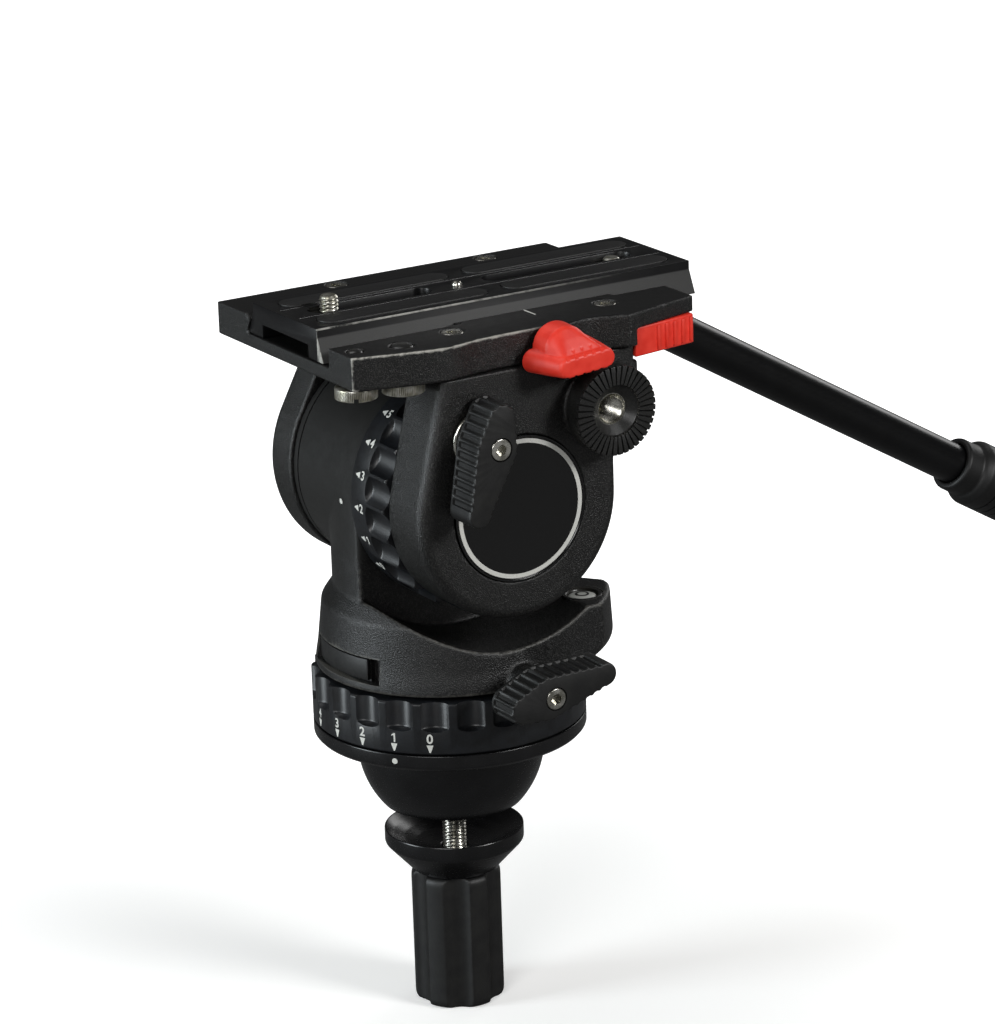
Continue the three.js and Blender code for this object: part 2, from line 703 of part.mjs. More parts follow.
// Root, bowl clamp
function halfBall() {
  const top = BASE_UNDERSIDE - SEAT;
  const profile = [[STUD_RADIUS + SEAT, top]];
  const start = Math.asin(top / BALL_RADIUS);
  const end = -Math.asin(BALL_DEPTH / BALL_RADIUS);
  arc(0, 0, BALL_RADIUS, start, end, HEX_STEPS).forEach(({ x, y }) => profile.push([x, y]));
  profile.push([BALL_RECESS_RADIUS, -BALL_DEPTH]);
  profile.push([BALL_RECESS_RADIUS, -BALL_DEPTH + BALL_RECESS_DEPTH]);
  profile.push([STUD_RADIUS + SEAT, -BALL_DEPTH + BALL_RECESS_DEPTH]);
  return turnedZ(profile, SHAFT_STEPS + HEX_STEPS);
}

function basePlate() {
  const collar = HOUSING_BOTTOM - RUN;
  return turnedZ([
    [STUD_RADIUS + SEAT, BASE_UNDERSIDE],
    [PAN_RADIUS - BASE_EDGE, BASE_UNDERSIDE],
    [PAN_RADIUS, BASE_UNDERSIDE + BASE_EDGE],
    [PAN_RADIUS, BASE_TOP],
    [COLLAR_RADIUS, BASE_TOP],
    [COLLAR_RADIUS, collar],
    [COLLAR_RADIUS - COLLAR_WALL, collar],
    [COLLAR_RADIUS - COLLAR_WALL, BASE_FLOOR_TOP],
    [STUD_RADIUS + SEAT, BASE_FLOOR_TOP],
  ]);
}

function panSpindle() {
  const low = BASE_FLOOR_TOP + SEAT;
  const flange = low + SPINDLE_FLANGE_HEIGHT;
  return turnedZ([
    [STUD_RADIUS + SEAT, low],
    [SPINDLE_FLANGE, low],
    [SPINDLE_FLANGE, flange],
    [SPINDLE_RADIUS, flange],
    [SPINDLE_RADIUS, HOUSING_BOTTOM + CAVITY_HEIGHT - RUN],
    [STUD_RADIUS + SEAT, HOUSING_BOTTOM + CAVITY_HEIGHT - RUN],
  ], INNER_STEPS);
}

const bearing = (inner, width, height) => tube(inner + SEAT, inner + width, 0, height);

function clampCup() {
  const hole = STUD_RADIUS + RUN;
  const dish = (radius) => -Math.sqrt(CUP_SPHERE ** 2 - radius ** 2);
  const top = [];
  for (let i = 0; i <= ARC_STEPS; i += 1) {
    const radius = CUP_RADIUS + ((hole - CUP_RADIUS) * i) / ARC_STEPS;
    top.push([radius, dish(radius)]);
  }
  const rim = dish(CUP_RADIUS);
  const foot = rim - CUP_HEIGHT;
  return turnedZ([
    [hole, foot],
    [CUP_FOOT_RADIUS, foot],
    [CUP_RADIUS, rim - CUP_HEIGHT / 3],
    ...top,
  ], SHAFT_STEPS);
}

function tieDownKnob() {
  const top = -Math.sqrt(CUP_SPHERE ** 2 - CUP_RADIUS ** 2) - CUP_HEIGHT - RUN;
  const body = flutedKnob(KNOB_RADIUS, top - KNOB_HEIGHT, top, KNOB_LOBES, KNOB_FLUTE, KNOB_FLUTE_DEPTH);
  const thread = rod(STUD_RADIUS + RUN, top - KNOB_HEIGHT + KNOB_END_WALL, top + OVERRUN);
  return cut(body, turnedZ(thread, SHAFT_STEPS));
}

// Pan unit
function housingShell() {
  const at = (height) => HOUSING_BOTTOM + height;
  const lower = turnedZ([
    [0, at(0)],
    [HOUSING_RADIUS, at(0)],
    [HOUSING_BELT_RADIUS, at(HOUSING_BELT_HEIGHT)],
    [SHOULDER_RADIUS, at(SHOULDER_HEIGHT)],
    [NECK_RADIUS, at(NECK_HEIGHT)],
    [0, at(NECK_HEIGHT)],
  ]);
  const neckSlab = block(
    [-HOUSING_RADIUS, HOUSING_RADIUS],
    [-NECK_NEAR, NECK_FAR],
    [at(SHOULDER_HEIGHT), TILT_AXIS],
  );
  const neck = common(turnedZ(rod(NECK_RADIUS, at(SHOULDER_HEIGHT), TILT_AXIS)), neckSlab);
  const drum = turnedY(rod(DRUM_RADIUS, -NECK_NEAR, NECK_FAR)).translate(0, 0, TILT_AXIS);
  return joined(lower, neck, drum, lobe());
}

function lobe() {
  const outline = new THREE.Shape();
  outline.moveTo(0, 0);
  outline.lineTo(LOBE_FRONT, -LOBE_SIDE);
  outline.lineTo(LOBE_REAR - LOBE_CORNER, -LOBE_SIDE);
  const bulge = [LOBE_REAR - LOBE_CORNER / 4, -LOBE_SIDE + LOBE_CORNER / 4];
  outline.quadraticCurveTo(...bulge, LOBE_REAR, -LOBE_SIDE / 2);
  outline.lineTo(LOBE_REAR - LOBE_CORNER / 2, -LOBE_CORNER);
  outline.closePath();
  const low = HOUSING_BOTTOM + LOBE_LOW;
  const top = HOUSING_BOTTOM + LOBE_TOP;
  const envelope = turnedZ([
    [0, low],
    [LOBE_REACH - LOBE_CHAMFER, low],
    [LOBE_REACH, low + LOBE_CHAMFER],
    [LOBE_REACH - LOBE_DRAFT, top],
    [0, top],
  ]);
  return common(slabZ(outline, low, top), envelope);
}

function panHousing() {
  const near = [-NECK_NEAR - 2 * HOUSING_RADIUS, -NECK_NEAR];
  const far = [NECK_FAR, NECK_FAR + HOUSING_RADIUS];
  const saddle = ([from, to]) => turnedY(rod(SADDLE_RADIUS, from, to)).translate(0, 0, TILT_AXIS);
  const cavity = rod(CAVITY_RADIUS, HOUSING_BOTTOM - OVERRUN, HOUSING_BOTTOM + CAVITY_HEIGHT);
  const drumInside = DRUM_RADIUS - DRUM_WALL;
  const drumBore = turnedY(rod(drumInside, -NECK_NEAR - OVERRUN, NECK_FAR - DRUM_END_WALL));
  const bearingBore = rod(AXLE_RADIUS + TILT_BEARING_HEIGHT + SEAT, 0, NECK_FAR + OVERRUN);
  const coverLow = HOUSING_BOTTOM + COVER_LOW;
  const groove = sector(
    COVER_OUTER - COVER_THICKNESS - RUN,
    HOUSING_RADIUS + OVERRUN,
    COVER_START - COVER_PLAY,
    NOTCH_END,
  );
  const notch = sector(
    COVER_OUTER - NOTCH_DEPTH,
    HOUSING_RADIUS + OVERRUN,
    COVER_END + COVER_PLAY,
    NOTCH_END,
  );
  const bezelBore = rod(BEZEL_RADIUS + SEAT, HOUSING_BOTTOM + LOBE_TOP - BEZEL_DEPTH - SEAT, TILT_AXIS);
  const brakeHeight = HOUSING_BOTTOM + PAN_BRAKE_HEIGHT;
  const bossLength = [PAN_BRAKE_BACK + RUN, -CAVITY_RADIUS - OVERRUN];
  const boss = common(
    turnedY(rod(BRAKE_BOSS_RADIUS, ...bossLength), SHAFT_STEPS).translate(PAN_BRAKE_REAR, 0, brakeHeight),
    block(
      [PAN_BRAKE_REAR - 2 * BRAKE_BOSS_RADIUS, PAN_BRAKE_REAR + 2 * BRAKE_BOSS_RADIUS],
      bossLength,
      [HOUSING_BOTTOM, brakeHeight + 2 * BRAKE_BOSS_RADIUS],
    ),
  );
  const brakeBore = rod(
    SCREW_RADIUS + RUN,
    PAN_BRAKE_BACK - OVERRUN,
    PAN_BRAKE_BACK + SCREW_REACH + OVERRUN / 2,
  );
  const carved = cut(
    housingShell(),
    saddle(near),
    saddle(far),
    turnedZ(cavity),
    drumBore.translate(0, 0, TILT_AXIS),
    turnedY(bearingBore, SHAFT_STEPS).translate(0, 0, TILT_AXIS),
    slabZ(groove, coverLow - RUN, coverLow + COVER_HEIGHT + RUN),
    slabZ(notch, coverLow - RUN, coverLow + COVER_HEIGHT + RUN),
    turnedZ(bezelBore, SHAFT_STEPS).translate(BUBBLE_REAR, -BUBBLE_SIDE, 0),
  );
  return cut(
    joined(carved, boss),
    turnedY(brakeBore, SCREW_STEPS).translate(PAN_BRAKE_REAR, 0, brakeHeight),
  );
}

function panDamper() {
  const inner = SPINDLE_RADIUS + BEARING_WIDTH + SEAT;
  const low = BASE_FLOOR_TOP + SEAT + SPINDLE_FLANGE_HEIGHT + SEAT;
  return tube(inner, DAMPER_RADIUS, low, HOUSING_BOTTOM + CAVITY_HEIGHT - DAMPER_TOP_GAP);
}

function batteryCover() {
  const outline = sector(COVER_OUTER - COVER_THICKNESS, COVER_OUTER, COVER_START, COVER_END);
  const low = HOUSING_BOTTOM + COVER_LOW;
  return slabZ(outline, low, low + COVER_HEIGHT, 2 * ARC_STEPS);
}

function bubbleBezel() {
  const top = HOUSING_BOTTOM + LOBE_TOP;
  const inner = BEZEL_RADIUS - BEZEL_WALL;
  const floor = top - BEZEL_DEPTH;
  return turnedZ([
    [0, floor],
    [BEZEL_RADIUS, floor],
    [BEZEL_RADIUS, top],
    [inner, top],
    [inner, floor + BEZEL_WALL / 2],
    [0, floor + BEZEL_WALL / 2],
  ], SHAFT_STEPS);
}

function bubbleVial() {
  const top = HOUSING_BOTTOM + LOBE_TOP - VIAL_INSET;
  const radius = BEZEL_RADIUS - BEZEL_WALL - SEAT;
  const floor = HOUSING_BOTTOM + LOBE_TOP - BEZEL_DEPTH + BEZEL_WALL / 2 + SEAT;
  return turnedZ([
    [0, floor],
    [radius, floor],
    [radius, top - VIAL_CROWN],
    [radius / 2, top - VIAL_CROWN / 4],
    [0, top],
  ], SHAFT_STEPS);
}

// The tilt damper fills the drum and carries the tilt drag ring.
function tiltDamper() {
  const near = NEAR_INNER + RUN;
  const outer = DRUM_RADIUS - DRUM_WALL - SEAT;
  const bore = AXLE_RADIUS + RUN;
  const seat = AXLE_RADIUS + TILT_BEARING_HEIGHT + SEAT;
  return turnedY([
    [bore, near + TILT_BEARING_WIDTH + SEAT],
    [seat, near + TILT_BEARING_WIDTH + SEAT],
    [seat, near],
    [outer, near],
    [outer, TILT_DAMPER_FAR],
    [bore, TILT_DAMPER_FAR],
  ], SHAFT_STEPS);
}

class Helix extends THREE.Curve {
  constructor(radius, pitch, turns) {
    super();
    Object.assign(this, { radius, pitch, turns });
  }

  getPoint(share, target = new THREE.Vector3()) {
    const angle = share * this.turns * FULL_TURN;
    const along = share * this.turns * this.pitch;
    return target.set(this.radius * Math.cos(angle), along, this.radius * Math.sin(angle));
  }
}

// The wound balance spring lies round the axle, between the damper and the drum's end wall.
function balanceSpring() {
  const radius = DRUM_RADIUS - DRUM_WALL - 2 * SEAT - SPRING_WIRE;
  const wire = new THREE.Shape();
  wire.absarc(0, 0, SPRING_WIRE, 0, FULL_TURN, false);
  const path = new Helix(radius, SPRING_PITCH, SPRING_TURNS);
  const settings = {
    steps: SPRING_STEPS * SPRING_TURNS,
    curveSegments: SPRING_SIDES,
    bevelEnabled: false,
    extrudePath: path,
  };
  return new THREE.ExtrudeGeometry(wire, settings).translate(0, TILT_DAMPER_FAR + SPRING_WIRE + 2 * SEAT, 0);
}

// Tilt unit
const screwBore = (from, to) => turnedZ(rod(SCREW_RADIUS + SEAT, from, to), SCREW_STEPS);

function carrierScrewPlaces() {
  return [
    [-CARRIER_SCREW_FRONT, -CARRIER_SCREW_NEAR],
    [CARRIER_SCREW_REAR, -CARRIER_SCREW_NEAR],
    [-CARRIER_SCREW_FRONT, CARRIER_SCREW_FAR],
    [CARRIER_SCREW_REAR, CARRIER_SCREW_FAR],
  ];
}

const SCREW_SEAT = CARRIER_TOP - SCREW_HEAD_HEIGHT - SEAT;
const SCREW_TIP = CHEEK_TOP - SCREW_REACH;

function cheekCuts(outerSide, direction) {
  const bores = carrierScrewPlaces()
    .filter(([, y]) => Math.sign(y) === direction)
    .map(([x, y]) => screwBore(SCREW_TIP - SEAT, CHEEK_TOP + OVERRUN).translate(x, y, 0));
  const inner = direction < 0 ? NEAR_INNER : FAR_INNER;
  const bottom = inner + direction * (AXLE_REACH + SEAT);
  const axleEnds = [inner - direction * OVERRUN, bottom].sort((a, b) => a - b);
  const depth = outerSide - direction * ROSETTE_BORE_DEPTH;
  const face = direction * ROSETTE_FACE;
  const boreEnds = [depth, face].sort((a, b) => a - b);
  return [
    ...bores,
    turnedY(rod(AXLE_RADIUS + SEAT, ...axleEnds), SHAFT_STEPS),
    turnedY(rod(ROSETTE_BORE, ...boreEnds), SHAFT_STEPS).translate(ROSETTE_REAR, 0, ROSETTE_RISE),
  ];
}

function rosetteBoss(outerSide, direction) {
  const ends = [
    outerSide - direction * CHEEK_BEVEL,
    direction * (ROSETTE_FACE - ROSETTE_THICKNESS - SEAT),
  ].sort((a, b) => a - b);
  return turnedY(rod(ROSETTE_BOSS, ...ends), SHAFT_STEPS).translate(ROSETTE_REAR, 0, ROSETTE_RISE);
}

function latchPocket() {
  return slabZ(
    polygon([
      [LATCH_FRONT - RUN, -LATCH_FRONT_SIDE - OVERRUN],
      [LATCH_FRONT - RUN, -LATCH_FRONT_SIDE + LATCH_THICKNESS + RUN],
      [CARRIER_REAR + OVERRUN, -LATCH_REAR_SIDE + LATCH_THICKNESS + LATCH_STROKE],
      [CARRIER_REAR + OVERRUN, -LATCH_FRONT_SIDE - OVERRUN],
    ]),
    LATCH_LOW - OVERRUN,
    LATCH_TOP + RUN,
  );
}

function nearCheek() {
  const body = outwardNear(cheekBody(NEAR_CHEEK_RADIUS, NEAR_CHEEK_FRONT, NEAR_CHEEK_WIDTH), NEAR_INNER);
  const brakeBoss = turnedY(rod(BRAKE_BOSS_RADIUS, BRAKE_BACK + RUN, NEAR_INNER), SHAFT_STEPS);
  const badgeFloor = NEAR_OUTER + BADGE_THICKNESS - BADGE_PROUD + SEAT;
  const brakeBore = rod(SCREW_RADIUS + RUN, BRAKE_BACK - OVERRUN, BRAKE_BACK + SCREW_REACH + OVERRUN / 2);
  return cut(
    joined(body, rosetteBoss(NEAR_OUTER, -1), brakeBoss.translate(-TILT_BRAKE_FRONT, 0, TILT_BRAKE_RISE)),
    ...cheekCuts(NEAR_OUTER, -1),
    turnedY(rod(BADGE_RADIUS + SEAT, BRAKE_BACK, badgeFloor)),
    turnedY(brakeBore, SCREW_STEPS).translate(-TILT_BRAKE_FRONT, 0, TILT_BRAKE_RISE),
    latchPocket(),
  );
}

function farCheek() {
  const body = mirroredFar(cheekBody(FAR_CHEEK_RADIUS, FAR_CHEEK_FRONT, FAR_CHEEK_WIDTH), FAR_INNER);
  return cut(joined(body, rosetteBoss(FAR_OUTER, 1)), ...cheekCuts(FAR_OUTER, 1));
}

// The badge is a disc with a raised rim, bare inside it.
function badge() {
  const back = NEAR_OUTER + BADGE_THICKNESS - BADGE_PROUD;
  const front = NEAR_OUTER - BADGE_PROUD;
  return turnedY([
    [0, back],
    [BADGE_RADIUS, back],
    [BADGE_RADIUS, front],
    [BADGE_RADIUS - BADGE_RIM, front],
    [BADGE_RADIUS - BADGE_RIM, front + BADGE_SINK],
    [0, front + BADGE_SINK],
  ]);
}

function carrierOutline() {
  const length = CARRIER_FRONT + CARRIER_REAR;
  const outline = new THREE.Shape();
  outline.moveTo(-CARRIER_FRONT, CARRIER_HALF);
  outline.lineTo(-CARRIER_FRONT, -CARRIER_HALF * NEAR_FRONT_SHARE);
  outline.splineThru(
    NEAR_EDGE_SHARES.map(
      ([along, out]) => new THREE.Vector2(length * along - CARRIER_FRONT, -CARRIER_HALF * out),
    ),
  );
  outline.lineTo(CARRIER_REAR, -CARRIER_HALF * NEAR_REAR_SHARE);
  outline.lineTo(CARRIER_REAR, CARRIER_HALF);
  outline.closePath();
  return outline;
}

// How far the plate's flank stands from its middle at a height above its underside.
const flankAt = (height) => PLATE_HALF - ((PLATE_HALF - PLATE_TOP_HALF) * height) / PLATE_FLANK;

function channel() {
  const lip = flankAt(LIP_RISE) + 2 * RUN;
  const root = PLATE_HALF + 2 * RUN;
  return slabX(
    polygon([
      [-CHANNEL_NEAR, CARRIER_TOP + OVERRUN],
      [-CHANNEL_NEAR, CHANNEL_FLOOR],
      [root, CHANNEL_FLOOR],
      [root, PLATE_LOW],
      [lip, PLATE_LOW + LIP_RISE],
      [lip + LIP_CHAMFER, CARRIER_TOP],
      [lip + LIP_CHAMFER, CARRIER_TOP + OVERRUN],
    ]),
    -CARRIER_FRONT - OVERRUN,
    CARRIER_REAR + OVERRUN,
  );
}

function carrier() {
  const skirtStart = ROSETTE_REAR + ROSETTE_SHOULDER + SEAT;
  const skirtBack = LATCH_THICKNESS + LATCH_STROKE + SKIRT_THICKNESS;
  const skirt = slabZ(
    polygon([
      [skirtStart, -LATCH_FRONT_SIDE + LATCH_THICKNESS],
      [skirtStart, -LATCH_FRONT_SIDE + skirtBack],
      [CARRIER_REAR, -LATCH_REAR_SIDE + skirtBack],
      [CARRIER_REAR, -LATCH_REAR_SIDE + LATCH_THICKNESS],
    ]),
    LATCH_LOW,
    CARRIER_BOTTOM + OVERRUN,
  );
  const pocketSide = [-CHANNEL_NEAR - CLAMP_TRAVEL - RUN, -CHANNEL_NEAR + OVERRUN];
  const clampPocket = block(
    [-CLAMP_FRONT - RUN, CLAMP_REAR + RUN],
    pocketSide,
    [CHANNEL_FLOOR, CARRIER_TOP + OVERRUN],
  );
  const stemRoom = rod(LOCK_STEM + RUN, -LOCK_SIDE - 2 * OVERRUN, pocketSide[0] + OVERRUN);
  const stemBore = turnedY(stemRoom, SCREW_STEPS);
  const headBore = rod(SCREW_HEAD_RADIUS + SEAT, SCREW_SEAT - SEAT, CARRIER_TOP + OVERRUN);
  const screws = carrierScrewPlaces().flatMap(([x, y]) => [
    screwBore(CARRIER_BOTTOM - OVERRUN, CARRIER_TOP).translate(x, y, 0),
    turnedZ(headBore, SCREW_STEPS).translate(x, y, 0),
  ]);
  const through = [CARRIER_BOTTOM - OVERRUN, CARRIER_TOP + OVERRUN];
  const spares = [LARGE_SPARE, SMALL_SPARE].map(({ front, side, radius }) =>
    turnedZ(rod(radius + RUN, ...through), SCREW_STEPS).translate(-front, -side, 0),
  );
  const pinEnds = [LATCH_LOW, LATCH_TOP + SKIRT_THICKNESS / 2 + SEAT];
  const pinBore = turnedZ(rod(LATCH_PIN_RADIUS + SEAT, ...pinEnds), SCREW_STEPS);
  return cut(
    joined(slabZ(carrierOutline(), CARRIER_BOTTOM, CARRIER_TOP, 2), skirt),
    channel(),
    clampPocket,
    stemBore.translate(LOCK_REAR, 0, LOCK_RISE),
    ...screws,
    ...spares,
    latchPocket(),
    pinBore.translate(LATCH_FRONT + LATCH_PIN_INSET, latchPinSide(), 0),
  );
}

const latchPinSide = () => -LATCH_FRONT_SIDE + LATCH_THICKNESS / 2;

function clampBar() {
  const outer = -CHANNEL_NEAR + RUN;
  return slabX(
    polygon([
      [outer, PLATE_LOW],
      [-flankAt(0) - RUN, PLATE_LOW],
      [-flankAt(CLAMP_HEIGHT) - RUN, PLATE_LOW + CLAMP_HEIGHT],
      [outer, PLATE_LOW + CLAMP_HEIGHT],
    ]),
    -CLAMP_FRONT,
    CLAMP_REAR,
  );
}

// The plate lock lever, with its back at 0 and its pivot on Z.
function lockLever() {
  const grip = new THREE.Shape();
  grip.absellipse(0, 0, LOCK_GRIP_LENGTH / 2, LOCK_GRIP_HEIGHT / 2, 0, FULL_TURN, false);
  const slope = degToRad(LOCK_GRIP_SLOPE);
  const place = (geometry) => geometry.rotateZ(slope).translate(LOCK_GRIP_REAR, -LOCK_GRIP_DROP, 0);
  const hub = [
    [0, 0],
    [LOCK_HUB, 0],
    [LOCK_HUB, LOCK_HUB_HEIGHT / 2],
    [LOCK_HUB_TOP, LOCK_HUB_HEIGHT],
    [0, LOCK_HUB_HEIGHT],
  ];
  const stemEnd = LOCK_SIDE - CHANNEL_NEAR - CLAMP_TRAVEL - 2 * RUN;
  const grooves = [];
  for (let i = 0; i < LOCK_RIBS; i += 1) {
    const along = (i - (LOCK_RIBS - 1) / 2) * LOCK_RIB_PITCH;
    const edge = (LOCK_GRIP_HEIGHT / 2) * Math.sqrt(1 - (2 * along / LOCK_GRIP_LENGTH) ** 2);
    [-edge, edge].forEach((side) => {
      const groove = turnedZ(rod(RIB_GROOVE / 2, -OVERRUN, LOCK_RIB_LENGTH), HEX_STEPS);
      grooves.push(place(groove.translate(along, side, LOCK_GRIP_THICKNESS - LOCK_RIB_LENGTH + OVERRUN)));
    });
  }
  return cut(
    joined(
      place(slabZ(grip, LOCK_HUB_HEIGHT / 8, LOCK_GRIP_THICKNESS, 3 * ARC_STEPS)),
      turnedZ(hub, SHAFT_STEPS),
      turnedZ(rod(LOCK_STEM, -stemEnd, LOCK_HUB_HEIGHT / 2), SCREW_STEPS),
    ),
    ...grooves,
  );
}

function latch() {
  const back = (side) => -side + LATCH_THICKNESS;
  const outline = polygon([
    [LATCH_FRONT, -LATCH_FRONT_SIDE],
    [LATCH_REAR, -LATCH_REAR_SIDE],
    [LATCH_REAR, back(LATCH_REAR_SIDE)],
    [LATCH_FRONT, back(LATCH_FRONT_SIDE)],
  ]);
  const slope = Math.atan2(LATCH_FRONT_SIDE - LATCH_REAR_SIDE, LATCH_REAR - LATCH_FRONT);
  const ribs = [];
  for (let i = 0; i < LATCH_RIBS; i += 1) {
    const from = (i + 1) * -LATCH_RIB_PITCH;
    ribs.push(
      block(
        [from, from + LATCH_RIB],
        [-LATCH_RIB_PROUD, LATCH_RIB],
        [LATCH_LOW + LATCH_RIB, LATCH_TOP - LATCH_RIB],
      )
        .rotateZ(slope)
        .translate(LATCH_REAR, -LATCH_REAR_SIDE, 0),
    );
  }
  const pinBore = turnedZ(rod(LATCH_PIN_RADIUS + RUN, LATCH_LOW - OVERRUN, LATCH_TOP + OVERRUN), SCREW_STEPS);
  return cut(
    joined(slabZ(outline, LATCH_LOW, LATCH_TOP), ...ribs),
    pinBore.translate(LATCH_FRONT + LATCH_PIN_INSET, latchPinSide(), 0),
  );
}

// Camera plate
function cameraPlate() {
  const flankTop = PLATE_LOW + PLATE_FLANK;
  const body = slabX(
    polygon([
      [-RECESS_HALF, PLATE_LOW],
      [-RECESS_HALF, RECESS_TOP],
      [RECESS_HALF, RECESS_TOP],
      [RECESS_HALF, PLATE_LOW],
      [PLATE_HALF, PLATE_LOW],
      [PLATE_TOP_HALF, flankTop],
      [PLATE_TOP_HALF, PLATE_TOP],
      [-PLATE_TOP_HALF, PLATE_TOP],
      [-PLATE_TOP_HALF, flankTop],
      [-PLATE_HALF, PLATE_LOW],
    ]),
    -PLATE_FRONT,
    PLATE_REAR,
  );
  const slots = [FRONT_SLOT, REAR_SLOT].map((ends) =>
    slabZ(pill(ends, 0, SLOT_HALF), RECESS_TOP - OVERRUN, PLATE_TOP + OVERRUN),
  );
  const padFloor = PLATE_TOP + PAD_PROUD - PAD_THICKNESS - SEAT;
  const pads = padPlaces().map(({ ends: [from, to], side }) =>
    slabZ(pill([from - SEAT, to + SEAT], side, PAD_HALF + SEAT), padFloor, PLATE_TOP + OVERRUN),
  );
  const pinBore = rod(PIN_RADIUS + SEAT, PLATE_TOP - PIN_DEPTH - SEAT, PLATE_TOP + OVERRUN);
  return cut(body, ...slots, ...pads, turnedZ(pinBore, SCREW_STEPS).translate(PIN_REAR, 0, 0));
}

function padPlaces() {
  return [
    { name: "pad_front_near", ends: FRONT_PAD, side: -PAD_SIDE },
    { name: "pad_front_far", ends: FRONT_PAD, side: PAD_SIDE },
    { name: "pad_rear_near", ends: REAR_PAD, side: -PAD_SIDE },
    { name: "pad_rear_far", ends: REAR_PAD, side: PAD_SIDE },
  ];
}

function pad({ ends, side }) {
  const top = PLATE_TOP + PAD_PROUD;
  return slabZ(pill(ends, side, PAD_HALF), top - PAD_THICKNESS, top);
}

function screwSlider() {
  const side = RECESS_HALF - RUN;
  const top = RECESS_TOP - RUN;
  const body = block([-SLIDER_HALF, SLIDER_HALF], [-side, side], [top - SLIDER_THICKNESS, top]);
  const bore = rod(CAMERA_SCREW_RADIUS + RUN, top - SLIDER_THICKNESS - OVERRUN, top + OVERRUN);
  return cut(body, turnedZ(bore, SCREW_STEPS));
}

// A camera screw, whose head lies under its slider; a slot for a coin crosses the head.
function cameraScrew(proud) {
  const seat = RECESS_TOP - 2 * RUN - SLIDER_THICKNESS;
  const low = seat - CAMERA_SCREW_HEAD_HEIGHT;
  const tip = PLATE_TOP + proud;
  const body = turnedZ([
    [0, low],
    [CAMERA_SCREW_HEAD, low],
    [CAMERA_SCREW_HEAD, seat],
    [CAMERA_SCREW_RADIUS, seat],
    [CAMERA_SCREW_RADIUS, tip - RUN],
    [CAMERA_SCREW_RADIUS - 2 * RUN, tip],
    [0, tip],
  ], SHAFT_STEPS);
  const coin = block(
    [-CAMERA_SCREW_HEAD - OVERRUN, CAMERA_SCREW_HEAD + OVERRUN],
    [-SCREW_SINK / 2, SCREW_SINK / 2],
    [low - OVERRUN, low + CAMERA_SCREW_HEAD_HEIGHT / 2],
  );
  return cut(body, coin);
}

// A spare camera screw, whose knurled head hangs under the carrier.
function spareScrew({ radius }) {
  const top = CARRIER_BOTTOM - RUN;
  const low = top - SPARE_HEAD_HEIGHT;
  const knurl = (i) => SPARE_HEAD_RADIUS - (i % 2 ? SPARE_KNURL_DEPTH : 0);
  const section = (i) => [[radius / 2, low], [knurl(i), low], [knurl(i), top], [radius / 2, top]];
  const head = sweptRing(section, 2 * SPARE_KNURLS);
  const shank = turnedZ(rod(radius, low, CARRIER_TOP + SPARE_PROUD), SCREW_STEPS);
  const coin = block(
    [-SPARE_HEAD_RADIUS - OVERRUN, SPARE_HEAD_RADIUS + OVERRUN],
    [-SCREW_SINK / 2, SCREW_SINK / 2],
    [low - OVERRUN, low + SCREW_SINK],
  );
  return cut(joined(head, shank), coin);
}

// Pan bar, about the far rosette's axis
const BAR_BACK = ROSETTE_FACE + RUN + BAR_ROSETTE_THICKNESS + SEAT;
const BAR_MIDDLE = BAR_BACK + SOCKET_WIDTH / 2;
const BAR_FRONT = BAR_BACK + SOCKET_WIDTH;

function barSocket() {
  const eye = turnedY(rod(SOCKET_RADIUS, BAR_BACK, BAR_FRONT), SHAFT_STEPS);
  const web = slabY(taper(SOCKET_RADIUS, SLEEVE_END / 2, SLEEVE_RADIUS), BAR_BACK, BAR_FRONT);
  const sleeve = turnedX(rod(SLEEVE_RADIUS, SOCKET_RADIUS + SEAT, SLEEVE_END), SHAFT_STEPS);
  sleeve.translate(0, BAR_MIDDLE, 0);
  const tubeBore = rod(TUBE_RADIUS + SEAT, TUBE_START - SEAT, SLEEVE_END + OVERRUN);
  return cut(
    joined(eye, web, sleeve),
    turnedX(tubeBore, SHAFT_STEPS).translate(0, BAR_MIDDLE, 0),
    turnedY(rod(ROSETTE_BORE, BAR_BACK - OVERRUN, BAR_FRONT + OVERRUN), SHAFT_STEPS),
  );
}

// A round tube about Y's plane through stations of [x, z, angle], where the angle is its fall in radians.
function bentRod(stations, radius, side) {
  const rings = stations.map(([x, z, fall]) =>
    arc(0, 0, radius, 0, FULL_TURN, SHAFT_STEPS)
      .slice(0, -1)
      .map((corner) => [x + corner.x * Math.sin(fall), side + corner.y, z + corner.x * Math.cos(fall)]),
  );
  const faces = [];
  const fan = (ring) => {
    ring.slice(2).forEach((corner, i) => faces.push(...ring[0], ...ring[i + 1], ...corner));
  };
  rings.slice(1).forEach((ring, j) => {
    ring.forEach((_, i) => {
      const k = (i + 1) % ring.length;
      faces.push(...rings[j][i], ...ring[k], ...ring[i], ...rings[j][i], ...rings[j][k], ...ring[k]);
    });
  });
  fan([...rings[0]].reverse());
  fan(rings.at(-1));
  return new THREE.BufferGeometry().setAttribute("position", new THREE.Float32BufferAttribute(faces, 3));
}

function barTube() {
  const drop = degToRad(BAR_DROP);
  const reach = BEND_RADIUS * Math.tan(drop / 2);
  const length = GRIP_START + GRIP_LENGTH - CAP_PLUG - SEAT;
  const bendStart = BAR_BEND - reach;
  const stations = [[TUBE_START, 0, 0]];
  for (let i = 0; i <= ARC_STEPS; i += 1) {
    const fall = (drop * i) / ARC_STEPS;
    stations.push([bendStart + BEND_RADIUS * Math.sin(fall), -BEND_RADIUS * (1 - Math.cos(fall)), fall]);
  }
  stations.push([BAR_BEND + length * Math.cos(drop), -length * Math.sin(drop), drop]);
  return bentRod(stations, TUBE_RADIUS, BAR_MIDDLE);
}

